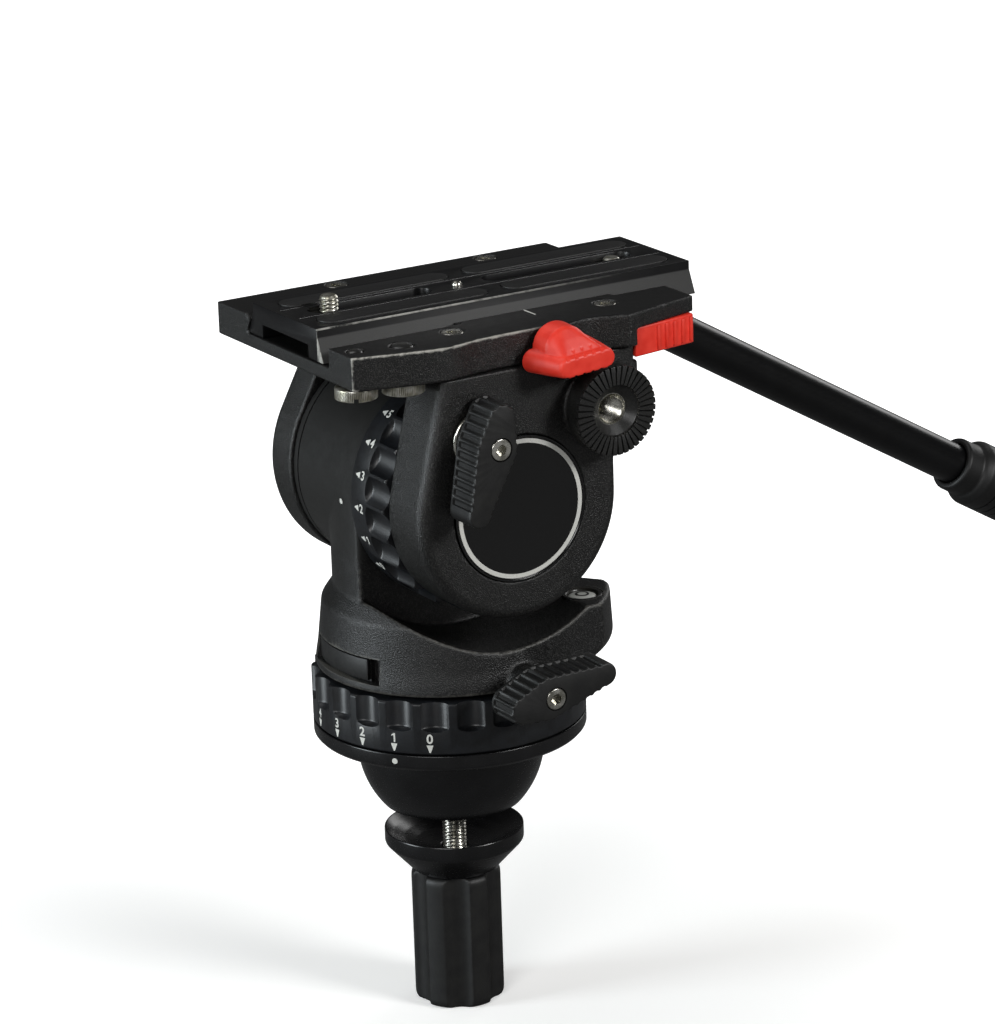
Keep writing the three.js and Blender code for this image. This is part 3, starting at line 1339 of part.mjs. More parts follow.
// The grip and its cap, along X from the grip's front edge.
function barGrip() {
  const bore = TUBE_RADIUS + SEAT;
  return turnedX([
    [bore, 0],
    [GRIP_LIP - GRIP_TAPER / 4, 0],
    [GRIP_LIP, GRIP_TAPER / 4],
    [GRIP_LIP, GRIP_LIP_LENGTH],
    [GRIP_RADIUS, GRIP_LIP_LENGTH + GRIP_TAPER],
    [GRIP_RADIUS, GRIP_LENGTH - GRIP_TAPER],
    [GRIP_END, GRIP_LENGTH],
    [bore, GRIP_LENGTH],
  ], SHAFT_STEPS);
}

function barCap() {
  const start = GRIP_LENGTH - CAP_PLUG;
  return turnedX([
    [0, start],
    [TUBE_RADIUS, start],
    [TUBE_RADIUS, GRIP_LENGTH + SEAT],
    [GRIP_END, GRIP_LENGTH + SEAT],
    [GRIP_END - CAP_THICKNESS / 2, GRIP_LENGTH + CAP_THICKNESS],
    [0, GRIP_LENGTH + CAP_THICKNESS],
  ], SHAFT_STEPS);
}

function barKnob() {
  const low = BAR_FRONT + RUN;
  const knob = flutedKnob(
    BAR_KNOB_RADIUS,
    low,
    low + BAR_KNOB_WIDTH,
    KNOB_LOBES,
    KNOB_FLUTE,
    KNOB_FLUTE_DEPTH,
  );
  const stud = turnedZ(rod(ROSETTE_BORE - RUN, BAR_STUD_END, low + OVERRUN), SCREW_STEPS);
  return joined(knob, stud).rotateX(-HALF_TURN / 2);
}

// The assembly
const head = new THREE.Group();
const tilt = new THREE.Group();
tilt.position.z = TILT_AXIS;
head.add(tilt);

function add(parent, name, geometry, material, place = [0, 0, 0]) {
  const mesh = new THREE.Mesh(joined(geometry), material);
  mesh.name = name;
  mesh.position.set(...place);
  parent.add(mesh);
  return mesh;
}

add(head, "half_ball", halfBall(), SATIN);
add(head, "base_plate", basePlate(), SATIN);
add(head, "tie_down_stud", turnedZ(rod(STUD_RADIUS, -STUD_DROP, STUD_RISE), SHAFT_STEPS), STEEL);
add(head, "pan_spindle", panSpindle(), STEEL);
add(head, "clamp_cup", clampCup(), SATIN);
add(head, "tie_down_knob", tieDownKnob(), PLASTIC);
add(
  head,
  "pan_drag_ring",
  dragRing(COLLAR_RADIUS + RUN, PAN_RADIUS, RING_HEIGHT, RING_BAND),
  PLASTIC,
  [0, 0, BASE_TOP + RUN],
);

add(head, "pan_housing", panHousing(), CRINKLE);
add(head, "pan_damper", turnedZ(panDamper(), SHAFT_STEPS), SATIN);
const panBearing = () => turnedZ(bearing(SPINDLE_RADIUS, BEARING_WIDTH, BEARING_HEIGHT), INNER_STEPS);
const bearingLow = BASE_FLOOR_TOP + 2 * SEAT + SPINDLE_FLANGE_HEIGHT;
add(head, "pan_bearing_lower", panBearing(), STEEL, [0, 0, bearingLow]);
const upperBearing = HOUSING_BOTTOM + CAVITY_HEIGHT - SEAT - BEARING_HEIGHT;
add(head, "pan_bearing_upper", panBearing(), STEEL, [0, 0, upperBearing]);
add(head, "battery_cover", batteryCover(), PLASTIC);
add(head, "bubble_bezel", bubbleBezel(), STEEL, [BUBBLE_REAR, -BUBBLE_SIDE, 0]);
add(head, "bubble_vial", bubbleVial(), VIAL, [BUBBLE_REAR, -BUBBLE_SIDE, 0]);

const panBrakePlace = [PAN_BRAKE_REAR, PAN_BRAKE_BACK, HOUSING_BOTTOM + PAN_BRAKE_HEIGHT];
const panBrake = (geometry) => geometry.rotateZ(degToRad(PAN_BRAKE_ANGLE)).rotateX(HALF_TURN / 2);
add(head, "pan_brake_lever", panBrake(brakeLever()), PLASTIC, panBrakePlace);
add(head, "pan_brake_screw", panBrake(brakeScrew()), STEEL, panBrakePlace);

add(tilt, "tilt_damper", tiltDamper(), SATIN);
add(tilt, "balance_spring", balanceSpring(), STEEL);
const tiltRing = dragRing(DRUM_RADIUS - DRUM_WALL, TILT_RING_RADIUS, TILT_RING_WIDTH, TILT_RING_BAND);
add(tilt, "tilt_drag_ring", outwardNear(tiltRing, -NECK_NEAR - RUN), PLASTIC);

const tiltBearing = () => turnedY(bearing(AXLE_RADIUS, TILT_BEARING_HEIGHT, TILT_BEARING_WIDTH), INNER_STEPS);
add(tilt, "tilt_bearing_near", tiltBearing(), STEEL, [0, NEAR_INNER + RUN, 0]);
add(tilt, "tilt_bearing_far", tiltBearing(), STEEL, [0, NECK_FAR - TILT_BEARING_WIDTH, 0]);
const axle = rod(AXLE_RADIUS, NEAR_INNER - AXLE_REACH, FAR_INNER + AXLE_REACH);
add(tilt, "tilt_axle", turnedY(axle, SHAFT_STEPS), STEEL);
add(tilt, "near_cheek", nearCheek(), CRINKLE);
add(tilt, "far_cheek", farCheek(), CRINKLE);
add(tilt, "badge", badge(), GLOSS);

const rosettePlace = (side) => [ROSETTE_REAR, side, ROSETTE_RISE];
const rosetteBack = ROSETTE_FACE - ROSETTE_THICKNESS;
const facing = (turn) => rosette(ROSETTE_THICKNESS).rotateX(turn);
add(tilt, "near_rosette", facing(HALF_TURN / 2), SATIN, rosettePlace(-rosetteBack));
add(tilt, "far_rosette", facing(-HALF_TURN / 2), SATIN, rosettePlace(rosetteBack));

const tiltBrakePlace = [-TILT_BRAKE_FRONT, BRAKE_BACK, TILT_BRAKE_RISE];
const tiltBrake = (geometry) => geometry.rotateZ(degToRad(TILT_BRAKE_ANGLE)).rotateX(HALF_TURN / 2);
add(tilt, "tilt_brake_lever", tiltBrake(brakeLever()), PLASTIC, tiltBrakePlace);
add(tilt, "tilt_brake_screw", tiltBrake(brakeScrew()), STEEL, tiltBrakePlace);
const collarRing = tube(BRAKE_BOSS_RADIUS + SEAT, COLLAR_RING_RADIUS, -COLLAR_RING_WIDTH, 0);
add(tilt, "tilt_brake_collar", turnedY(collarRing, SHAFT_STEPS), STEEL, [
  -TILT_BRAKE_FRONT,
  NEAR_OUTER - BADGE_PROUD - SEAT,
  TILT_BRAKE_RISE,
]);

add(tilt, "carrier", carrier(), CRINKLE);
carrierScrewPlaces().forEach(([x, y], i) =>
  add(tilt, `carrier_screw_${i + 1}`, capScrew(SCREW_SEAT - SCREW_TIP), STEEL, [x, y, SCREW_SEAT]),
);
add(tilt, "clamp_bar", clampBar(), STEEL);
add(tilt, "plate_lock_lever", lockLever().rotateX(HALF_TURN / 2), RED, [LOCK_REAR, -LOCK_SIDE, LOCK_RISE]);
add(tilt, "release_latch", latch(), RED);
const latchPin = rod(LATCH_PIN_RADIUS, LATCH_LOW + SEAT, LATCH_TOP + SKIRT_THICKNESS / 2);
add(tilt, "latch_pin", turnedZ(latchPin, SCREW_STEPS), STEEL, [
  LATCH_FRONT + LATCH_PIN_INSET,
  latchPinSide(),
  0,
]);

add(tilt, "camera_plate", cameraPlate(), SATIN);
padPlaces().forEach((place) => add(tilt, place.name, pad(place), RUBBER));
const pin = rod(PIN_RADIUS, PLATE_TOP - PIN_DEPTH, PLATE_TOP + PIN_HEIGHT);
add(tilt, "locating_pin", turnedZ(pin, SCREW_STEPS), STEEL, [PIN_REAR, 0, 0]);
add(tilt, "screw_slider_front", screwSlider(), SATIN, [FRONT_SCREW, 0, 0]);
add(tilt, "camera_screw_front", cameraScrew(FRONT_SCREW_PROUD), STEEL, [FRONT_SCREW, 0, 0]);
add(tilt, "screw_slider_rear", screwSlider(), SATIN, [REAR_SCREW, 0, 0]);
add(tilt, "camera_screw_rear", cameraScrew(REAR_SCREW_PROUD), STEEL, [REAR_SCREW, 0, 0]);
add(tilt, "spare_screw_large", spareScrew(LARGE_SPARE), STEEL, [-LARGE_SPARE.front, -LARGE_SPARE.side, 0]);
add(tilt, "spare_screw_small", spareScrew(SMALL_SPARE), STEEL, [-SMALL_SPARE.front, -SMALL_SPARE.side, 0]);

const balance = flutedKnob(
  BALANCE_RADIUS,
  0,
  BALANCE_WIDTH,
  BALANCE_LOBES,
  BALANCE_FLUTE,
  BALANCE_FLUTE_DEPTH,
);
add(tilt, "counterbalance_knob", balance.rotateX(-HALF_TURN / 2), PLASTIC, [0, FAR_OUTER + RUN, 0]);

const bar = new THREE.Group();
bar.position.set(ROSETTE_REAR, 0, ROSETTE_RISE);
tilt.add(bar);
const barRosette = rosette(BAR_ROSETTE_THICKNESS).rotateX(HALF_TURN / 2);
add(bar, "bar_rosette", barRosette, SATIN, [0, ROSETTE_FACE + RUN + BAR_ROSETTE_THICKNESS, 0]);
add(bar, "bar_socket", barSocket(), CRINKLE);
add(bar, "bar_tube", barTube(), SATIN);
add(bar, "bar_knob", barKnob(), PLASTIC);
const grip = new THREE.Group();
grip.position.set(
  BAR_BEND + GRIP_START * Math.cos(degToRad(BAR_DROP)),
  BAR_MIDDLE,
  -GRIP_START * Math.sin(degToRad(BAR_DROP)),
);
grip.rotation.y = degToRad(BAR_DROP);
bar.add(grip);
add(grip, "bar_grip", barGrip(), RUBBER);
add(grip, "bar_cap", barCap(), PLASTIC);

export default head;
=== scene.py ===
import json
import math

import bmesh
import bpy
from mathutils import Matrix, Vector

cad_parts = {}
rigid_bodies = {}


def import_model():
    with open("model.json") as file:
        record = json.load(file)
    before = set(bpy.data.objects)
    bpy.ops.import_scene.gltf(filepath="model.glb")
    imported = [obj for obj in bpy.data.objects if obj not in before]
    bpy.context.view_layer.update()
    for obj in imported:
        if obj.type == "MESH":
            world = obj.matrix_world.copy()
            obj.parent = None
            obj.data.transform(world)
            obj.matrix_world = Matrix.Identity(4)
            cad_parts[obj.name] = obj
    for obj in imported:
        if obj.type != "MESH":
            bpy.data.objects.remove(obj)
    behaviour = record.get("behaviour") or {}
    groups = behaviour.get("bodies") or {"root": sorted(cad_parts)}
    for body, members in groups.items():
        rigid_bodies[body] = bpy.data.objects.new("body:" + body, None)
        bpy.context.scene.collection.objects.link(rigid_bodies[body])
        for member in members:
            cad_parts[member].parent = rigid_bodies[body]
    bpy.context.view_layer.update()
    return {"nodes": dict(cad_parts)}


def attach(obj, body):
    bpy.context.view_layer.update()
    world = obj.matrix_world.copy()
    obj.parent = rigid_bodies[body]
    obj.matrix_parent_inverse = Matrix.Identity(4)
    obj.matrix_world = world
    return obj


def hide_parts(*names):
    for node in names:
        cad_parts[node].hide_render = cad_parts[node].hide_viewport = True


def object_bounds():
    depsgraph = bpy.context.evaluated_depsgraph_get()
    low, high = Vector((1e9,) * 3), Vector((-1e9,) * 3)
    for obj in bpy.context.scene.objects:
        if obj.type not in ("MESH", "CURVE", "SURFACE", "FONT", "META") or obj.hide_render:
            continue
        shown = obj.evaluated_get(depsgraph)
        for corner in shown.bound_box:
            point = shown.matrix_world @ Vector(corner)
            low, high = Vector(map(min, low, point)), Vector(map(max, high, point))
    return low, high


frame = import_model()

for spare in list(bpy.data.objects):
    if spare.name in ("Cube", "Light", "Camera"):
        bpy.data.objects.remove(spare)

# The head's own sizes, in millimetres, in the frame of the CAD nodes: X runs to the back, Y to the far side
MM = 0.001
SEAT = 0.3  # air between pieces that move on each other
BASE_LOW, BASE_TOP = 5.35, 12.0
STUD_BORE = 5.3
PAN_RADIUS = 54.5
COLLAR_RADIUS = 43.7
RING_HEIGHT = 21.2
PAN_ZERO, PAN_STEP = 231.2, 15.3  # degrees: where the pan ring's 0 stands, and from figure to figure
HOUSING_LOW = 35.1
BUBBLE = (41.5, -35.5, 0)
LOBE_TOP = 62.0
TILT_AXIS = 110.8
DRUM_AXIS = (0, 0, TILT_AXIS)
DRUM_RADIUS = 44.4
TILT_REST, TILT_STEP = -2.5, 16.2  # degrees: where the tilt ring's 2 stands, and from figure to figure
TILT_RING_RADIUS = 46.6
NECK_NEAR, NECK_FAR = -9.0, 40.0
NEAR_INNER, NEAR_OUTER = -35.0, -59.4
FAR_INNER, FAR_OUTER = 40.3, 58.0
CHEEK_TOP = TILT_AXIS + 55.8
ROSETTE_X, ROSETTE_Z = 36.2, 146.2
ROSETTE_AXIS = (ROSETTE_X, 0, ROSETTE_Z)
ROSETTE_BORE, ROSETTE_RADIUS, ROSETTE_FACE = 6.25, 17.6, 72.9
CARRIER_LOW, CARRIER_TOP = TILT_AXIS + 56.1, TILT_AXIS + 69.4
CARRIER_SCREWS_X = (-17.4, 51.3)
CARRIER_SCREWS_NEAR, CARRIER_SCREWS_FAR = -42, 47
LARGE_SPARE, SMALL_SPARE = (-42.8, -47.7, 0), (-61, -43.9, 0)
LOCK_AXIS = (16.5, 0, 173)
LATCH_PIN, PIN_BORE = (57.4, -56.2, 0), 1.9
LATCH_LOW, LATCH_HIGH = 161.6, 173.4
PLATE_TOP = TILT_AXIS + 74.6
PLATE_FRONT, PLATE_BACK = -66.6, 101.8
BRAKE_BACK = -61.7
PAN_BRAKE, TILT_BRAKE = (3, 0, HOUSING_LOW + 2.7), (-18, 0, TILT_AXIS + 30.7)
SCREW_BORE = 2.8
BAR_MIDDLE = 88.1
BAR_AXIS = (ROSETTE_X, BAR_MIDDLE, ROSETTE_Z)
BAR_SLOPE = 30.3  # degrees
POCKETS = 24
RIB_PITCH = 3.7
INK, INK_LIFT = 0.03, 0.02  # half the thickness of print, and its lift off the surface
FREE = (0, 0, 0)  # a shape made at the origin, to be placed later
REFLECTED_SHARE = 0.03  # of the white background

BIG_TURN, FINE_TURN, SMALL_TURN = 192, 144, 56  # facets round a full turn


def linear(code):
    """An sRGB hex colour as linear RGBA."""
    channels = [int(code[i:i + 2], 16) / 255 for i in (1, 3, 5)]
    return [c / 12.92 if c <= 0.04045 else ((c + 0.055) / 1.055) ** 2.4 for c in channels] + [1.0]


def add(tree, kind, values=None, links=None, **settings):
    """Adds a node with its settings, its sockets' values and the links into it."""
    made = tree.nodes.new(kind)
    for key, value in settings.items():
        setattr(made, key, value)
    for key, value in (values or {}).items():
        made.inputs[key].default_value = value
    for key, source in (links or {}).items():
        tree.links.new(source, made.inputs[key])
    return made


# Materials
def finish(name, colour, roughness, metallic=0.0, **sockets):
    """A material with its tree, its surface node and a texture coordinate in metres."""
    made = bpy.data.materials.new(name)
    made.use_nodes = True
    tree = made.node_tree
    surface = tree.nodes["Principled BSDF"]
    surface.inputs["Base Color"].default_value = linear(colour)
    surface.inputs["Roughness"].default_value = roughness
    surface.inputs["Metallic"].default_value = metallic
    for key, value in sockets.items():
        surface.inputs[key.replace("_", " ")].default_value = value
    where = add(tree, "ShaderNodeTexCoord").outputs["Object"]
    return made, tree, surface, where


def grain(tree, where, size, detail=2.0):
    """Noise whose blots are about this many millimetres across."""
    values = {"Scale": 1 / (size * MM), "Detail": detail}
    return add(tree, "ShaderNodeTexNoise", values, {"Vector": where}).outputs[0]


def tone(tree, surface, source, dark, light, low=0.35, high=0.65):
    """The surface's colour runs between two colours by a factor."""
    ramp = add(tree, "ShaderNodeMapRange", {"From Min": low, "From Max": high}, {"Value": source})
    mix = add(tree, "ShaderNodeMix", links={"Factor": ramp.outputs[0]}, data_type="RGBA")
    mix.inputs[6].default_value = linear(dark)
    mix.inputs[7].default_value = linear(light)
    tree.links.new(mix.outputs[2], surface.inputs["Base Color"])


def rough_by(tree, surface, source, low, high):
    spread = add(tree, "ShaderNodeMapRange", {"To Min": low, "To Max": high}, {"Value": source})
    tree.links.new(spread.outputs[0], surface.inputs["Roughness"])


def relief(tree, surface, height, depth, strength=1.0):
    """A bump of this depth in millimetres."""
    bump = add(tree, "ShaderNodeBump", {"Strength": strength, "Distance": depth * MM}, {"Height": height})
    tree.links.new(bump.outputs[0], surface.inputs["Normal"])
    return bump


def worn_smooth(tree, bump, mask, low, high):
    """The bump's strength runs from low to high where a mask goes from 0 to 1."""
    strength = add(tree, "ShaderNodeMapRange", {"To Min": low, "To Max": high}, {"Value": mask})
    tree.links.new(strength.outputs[0], bump.inputs["Strength"])


def overlaid(tree, surface, mask, colour):
    """A second colour over the surface's own, where a mask is 1."""
    before = surface.inputs["Base Color"].links[0].from_socket
    mix = add(tree, "ShaderNodeMix", links={"Factor": mask}, data_type="RGBA")
    tree.links.new(before, mix.inputs[6])
    mix.inputs[7].default_value = linear(colour)
    tree.links.new(mix.outputs[2], surface.inputs["Base Color"])


def within(tree, one, other):
    """1 where both masks are 1."""
    return add(tree, "ShaderNodeMath", links={0: one, 1: other}, operation="MULTIPLY").outputs[0]


def either(tree, one, other):
    """1 where one of the masks is 1."""
    return add(tree, "ShaderNodeMath", links={0: one, 1: other}, operation="MAXIMUM").outputs[0]


def beyond(tree, where, axis, start, end):
    """1 where a coordinate, in millimetres, has passed from start to end, and 0 before."""
    value = add(tree, "ShaderNodeSeparateXYZ", links={0: where}).outputs[axis]
    limits = {"From Min": start * MM, "From Max": end * MM}
    return add(tree, "ShaderNodeMapRange", limits, {"Value": value}).outputs[0]


def facing_up(tree):
    """1 where the surface faces up in the piece's own frame."""
    normal = add(tree, "ShaderNodeTexCoord").outputs["Normal"]
    upward = add(tree, "ShaderNodeSeparateXYZ", links={0: normal}).outputs["Z"]
    return add(tree, "ShaderNodeMapRange", {"From Min": 0.8, "From Max": 0.95}, {"Value": upward}).outputs[0]


def distance_from(tree, where, corner, kept):
    """The distance from a corner, in metres; the axes that count are kept as 1, the others as 0."""
    corner = [c * MM for c in corner]
    off = add(tree, "ShaderNodeVectorMath", {1: corner}, {0: where}, operation="SUBTRACT").outputs[0]
    flatly = add(tree, "ShaderNodeVectorMath", {1: kept}, {0: off}, operation="MULTIPLY").outputs[0]
    return add(tree, "ShaderNodeVectorMath", links={0: flatly}, operation="LENGTH").outputs["Value"]


def along_edge(tree, where, corner, kept, width):
    """1 within a width, in millimetres, of a straight edge through a corner."""
    distance = distance_from(tree, where, corner, kept)
    limits = {"From Min": width * MM, "From Max": width * 0.6 * MM}
    return add(tree, "ShaderNodeMapRange", limits, {"Value": distance}).outputs[0]


def worn_edges(tree, surface, where, colour, mask):
    """Bare, rubbed metal along the outer edges inside a mask, broken up by noise."""
    shape = add(tree, "ShaderNodeNewGeometry").outputs["Pointiness"]
    blots = grain(tree, where, 2.2, 4.0)
    patchy = add(tree, "ShaderNodeMath", {1: 0.05}, {0: blots}, operation="MULTIPLY").outputs[0]
    edge = add(tree, "ShaderNodeMath", links={0: shape, 1: patchy}, operation="ADD").outputs[0]
    rub = add(tree, "ShaderNodeMapRange", {"From Min": 0.538, "From Max": 0.57}, {"Value": edge}).outputs[0]
    overlaid(tree, surface, within(tree, rub, mask), colour)


def crinkle_paint(name, colour, light, depth, size):
    """Crinkle stove paint on cast aluminium: hard little wrinkles that catch points of light, their crests also
    painted in a paler colour as painted glints.

    The real wrinkles are finer; they are drawn coarser here, so that they show.
    """
    made, tree, surface, where = finish(name, colour, 0.5, Specular_IOR_Level=0.5)
    wrinkle_and_glints = grain(tree, where, size, 1.5)
    bump = relief(tree, surface, wrinkle_and_glints, depth)
    # The crests of the wrinkles are painted in the paler colour: painted glints, besides the light that the bump
    # catches.
    tone(tree, surface, wrinkle_and_glints, colour, light, 0.51, 0.64)
    rough_by(tree, surface, grain(tree, where, 5.0), 0.34, 0.46)
    return made, tree, surface, where, bump


def carrier_paint():
    """The carrier's crinkle paint: handled smooth and dark on top, and rubbed bare along its near edge."""
    # The second colour is the painted glint on the wrinkles' crests.
    made, tree, surface, where, bump = crinkle_paint("crinkle_paint_handled", "#050505", "#2E2E2C", 0.26,
                                                     0.46)
    top = facing_up(tree)
    worn_smooth(tree, bump, top, 1.0, 0.12)
    overlaid(tree, surface, top, "#040404")
    rim = within(tree, beyond(tree, where, "Y", -52.7, -53.3), beyond(tree, where, "Z", 177.6, 178.6))
    rim = within(tree, rim, beyond(tree, where, "X", 24.0, 4.0))
    corner = within(tree, beyond(tree, where, "X", -64.5, -65.5), beyond(tree, where, "Y", -51.5, -52.0))
    worn_edges(tree, surface, where, "#A8A69E", either(tree, rim, corner))
    return made


def housing_paint():
    """The housing's fine crinkle paint, with the drum above it turned and sprayed in a smooth satin."""
    # The second colour is the painted glint on the wrinkles' crests.
    made, tree, surface, where, bump = crinkle_paint("fine_crinkle_paint", "#040404", "#282827", 0.26, 0.46)
    drum = beyond(tree, where, "Z", 84.0, 88.0)
    worn_smooth(tree, bump, drum, 1.0, 0.15)
    overlaid(tree, surface, drum, "#191918")
    worn_edges(tree, surface, where, "#4B4A46", beyond(tree, where, "Z", 84.0, 80.0))
    return made


def plate_coat():
    """Hard-anodised plate: satin on top, blasted on its near flank and painted paler there as a painted
    reflection, with two edges rubbed bright.
    """
    made, tree, surface, where = finish("hard_anodised_plate", "#060607", 0.3, Specular_IOR_Level=0.45)
    # The blasting is drawn coarser than it is, so that it shows
    blast = grain(tree, where, 0.3, 1.5)
    near_side = beyond(tree, where, "Y", -24.9, -25.3)
    flank = within(tree, near_side, beyond(tree, where, "Z", 182.1, 181.9))
    tone(tree, surface, grain(tree, where, 9.0), "#060607", "#0B0B0C")
    # The near flank alone is painted a paler grey: a painted reflection of the lamps on the sloping face, not a
    # colour of the anodising.
    overlaid(tree, surface, flank, "#383837")
    rough_by(tree, surface, flank, 0.32, 0.5)
    worn_smooth(tree, relief(tree, surface, blast, 0.05), flank, 0.2, 1.0)
    top_edge = along_edge(tree, where, (0, -25.0, PLATE_TOP - 0.1), (0, 1, 1), 0.62)
    top_edge = within(tree, top_edge, beyond(tree, where, "X", 70.0, -20.0))
    front_edge = within(tree, along_edge(tree, where, (PLATE_FRONT, 0, 0), (1, 0, 0), 0.36), near_side)
    blots = grain(tree, where, 4.0, 4.0)
    patchy = add(tree, "ShaderNodeMapRange", {"From Min": 0.3, "From Max": 0.55}, {"Value": blots}).outputs[0]
    overlaid(tree, surface, within(tree, either(tree, top_edge, front_edge), patchy), "#A3A29C")
    return made


def rosette_coat():
    """Machined aluminium under black anodising: fine turning rings that catch the light in two fans."""
    made, tree, surface, where = finish("turned_black_anodised", "#101010", 0.38, Specular_IOR_Level=0.5)
    radius = distance_from(tree, where, ROSETTE_AXIS, (1, 0, 1))
    # The turning rings are drawn 0.35 mm apart, coarser than they are, so that they show
    feed = add(tree, "ShaderNodeMath", {1: math.tau / (0.35 * MM)}, {0: radius}, operation="MULTIPLY")
    marks = add(tree, "ShaderNodeMath", links={0: feed.outputs[0]}, operation="SINE").outputs[0]
    relief(tree, surface, marks, 0.012)
    tone(tree, surface, grain(tree, where, 0.45), "#101010", "#2E2E2C", 0.45, 0.7)
    rough_by(tree, surface, grain(tree, where, 4.0), 0.3, 0.42)
    return made


def satin_coat(name, colour, light, roughness, specular):
    """Black anodised aluminium: a tight, even satin with a trace of the mill's grain."""
    made, tree, surface, where = finish(name, colour, roughness, Specular_IOR_Level=specular)
    streak = add(tree, "ShaderNodeMapping", {"Scale": (0.06, 1.0, 1.0)}, {"Vector": where})
    lines = grain(tree, streak.outputs[0], 0.5, 3.0)
    relief(tree, surface, lines, 0.02, 0.5)
    tone(tree, surface, grain(tree, where, 9.0), colour, light)
    rough_by(tree, surface, lines, roughness - 0.06, roughness + 0.08)
    return made


def moulded(name, colour, light, roughness, depth, size=0.6):
    """Injection-moulded plastic or rubber with a spark-eroded skin: matt, with a fine even stipple."""
    made, tree, surface, where = finish(name, colour, roughness, IOR=1.49)
    stipple = grain(tree, where, size, 2.0)
    relief(tree, surface, stipple, depth, 0.8)
    tone(tree, surface, grain(tree, where, 5.0), colour, light)
    rough_by(tree, surface, stipple, roughness - 0.05, roughness + 0.07)
    return made


def bright_metal(name, colour, roughness, depth=0.003):
    """Turned stainless steel or nickel: bright, with faint tool marks."""
    made, tree, surface, where = finish(name, colour, roughness, 1.0)
    marks = grain(tree, where, 0.35, 2.0)
    relief(tree, surface, marks, depth, 0.5)
    rough_by(tree, surface, marks, roughness - 0.06, roughness + 0.1)
    tone(tree, surface, grain(tree, where, 3.0), colour, "#DAD8D0")
    return made


def gloss_lacquer(name, colour, roughness, coat):
    """Gloss lacquer: deep, with a clear skin and a faint orange peel."""
    made, tree, surface, where = finish(name, colour, roughness, Coat_Weight=coat, Coat_Roughness=0.06)
    relief(tree, surface, grain(tree, where, 4.0), 0.015, 0.3)
    rough_by(tree, surface, grain(tree, where, 2.0), roughness, roughness + 0.05)
    return made


def screen_print(name, colour):
    """Screen-printed ink: flat, opaque, a little uneven at close range."""
    made, tree, surface, where = finish(name, colour, 0.55)
    tone(tree, surface, grain(tree, where, 0.5), colour, "#D8D8D2")
    relief(tree, surface, grain(tree, where, 0.3), 0.01, 0.4)
    return made


def clear_vial(name):
    """Acrylic vial filled with pale green spirit: milky, with a wet gloss."""
    made, tree, surface, where = finish(name, "#D2D4CE", 0.08, IOR=1.49, Transmission_Weight=0.1)
    rough_by(tree, surface, grain(tree, where, 3.0), 0.04, 0.1)
    return made


# The second colour of each crinkle paint is the painted glint on the wrinkles' crests.
CRINKLE = crinkle_paint("crinkle_stove_paint", "#040404", "#2D2D2B", 0.27, 0.46)[0]
CARRIER_PAINT = carrier_paint()
HOUSING_PAINT = housing_paint()
ANODISED = satin_coat("black_anodised_aluminium", "#070708", "#0E0E0F", 0.24, 0.5)
PLATE_COAT = plate_coat()
ROSETTE_COAT = rosette_coat()
TUBE_COAT = satin_coat("polished_black_anodised_tube", "#040405", "#080809", 0.3, 0.35)
BLACK_OXIDE = satin_coat("black_oxide_screws", "#121212", "#24231F", 0.3, 0.7)
RING_PLASTIC = moulded("glass_filled_nylon_rings", "#0D0E10", "#16181B", 0.36, 0.03)
LEVER_PLASTIC = moulded("textured_nylon_levers", "#0D0D0D", "#161615", 0.5, 0.05)
SOFT_RUBBER = moulded("grip_rubber", "#040404", "#080808", 0.5, 0.04, 0.4)
RED_PLASTIC = moulded("red_acetal", "#E43020", "#EE3E2E", 0.44, 0.02)
STAINLESS = bright_metal("turned_stainless_steel", "#9C9A90", 0.24)
NICKEL = bright_metal("nickel_plated_knurling", "#A8A595", 0.34, 0.02)
BADGE_BLACK = gloss_lacquer("badge_lacquer", "#030303", 0.16, 0.2)
SILVER_INK = screen_print("silver_badge_ink", "#C8C8C2")
WHITE_PRINT = screen_print("white_screen_print", "#CBCBC4")
VIAL = clear_vial("acrylic_vial")


# Solids in millimetres, kept as objects at the origin
def linked(name, data):
    """A new object in the scene."""
    made = bpy.data.objects.new(name, data)
    bpy.context.scene.collection.objects.link(made)
    return made


def place(axis, centre, across, up, along):
    """A point given by two lengths across an axis and one along it, counted from a centre."""
    point = {"Z": (across, up, along), "Y": (across, along, up), "X": (along, across, up)}[axis]
    return tuple(c + o for c, o in zip(point, centre))


def shell(vertices, faces):
    """An object from corners in millimetres, with its faces pointing out."""
    mesh = bpy.data.meshes.new("work")
    mesh.from_pydata([[c * MM for c in corner] for corner in vertices], [], faces)
    build = bmesh.new()
    build.from_mesh(mesh)
    bmesh.ops.remove_doubles(build, verts=build.verts, dist=1e-7)
    bmesh.ops.recalc_face_normals(build, faces=build.faces)
    build.to_mesh(mesh)
    build.free()
    return linked("work", mesh)


def grid(rings):
    """A skin over rings with equally many corners, with both ends filled."""
    count = len(rings[0])
    last = (len(rings) - 1) * count
    faces = []
    for row in range(0, last, count):
        for i in range(count):
            n = (i + 1) % count
            faces.append((row + i, row + n, row + count + n, row + count + i))
    faces.append(tuple(range(count)))
    faces.append(tuple(last + i for i in range(count)))
    return shell([corner for ring in rings for corner in ring], faces)


def rounded(profile, radius):
    """A profile of points with its inner corners rounded, in four steps each."""
    points = [Vector(p) for p in profile]
    result = [points[0]]
    for before, corner, after in zip(points, points[1:], points[2:]):
        back, ahead = before - corner, after - corner
        reach = min(radius, back.length * 0.45, ahead.length * 0.45)
        start, end = corner + back.normalized() * reach, corner + ahead.normalized() * reach
        for t in (0, 0.25, 0.5, 0.75, 1):
            result.append(start * (1 - t) ** 2 + corner * 2 * t * (1 - t) + end * t ** 2)
    return [tuple(p) for p in result + [points[-1]]]


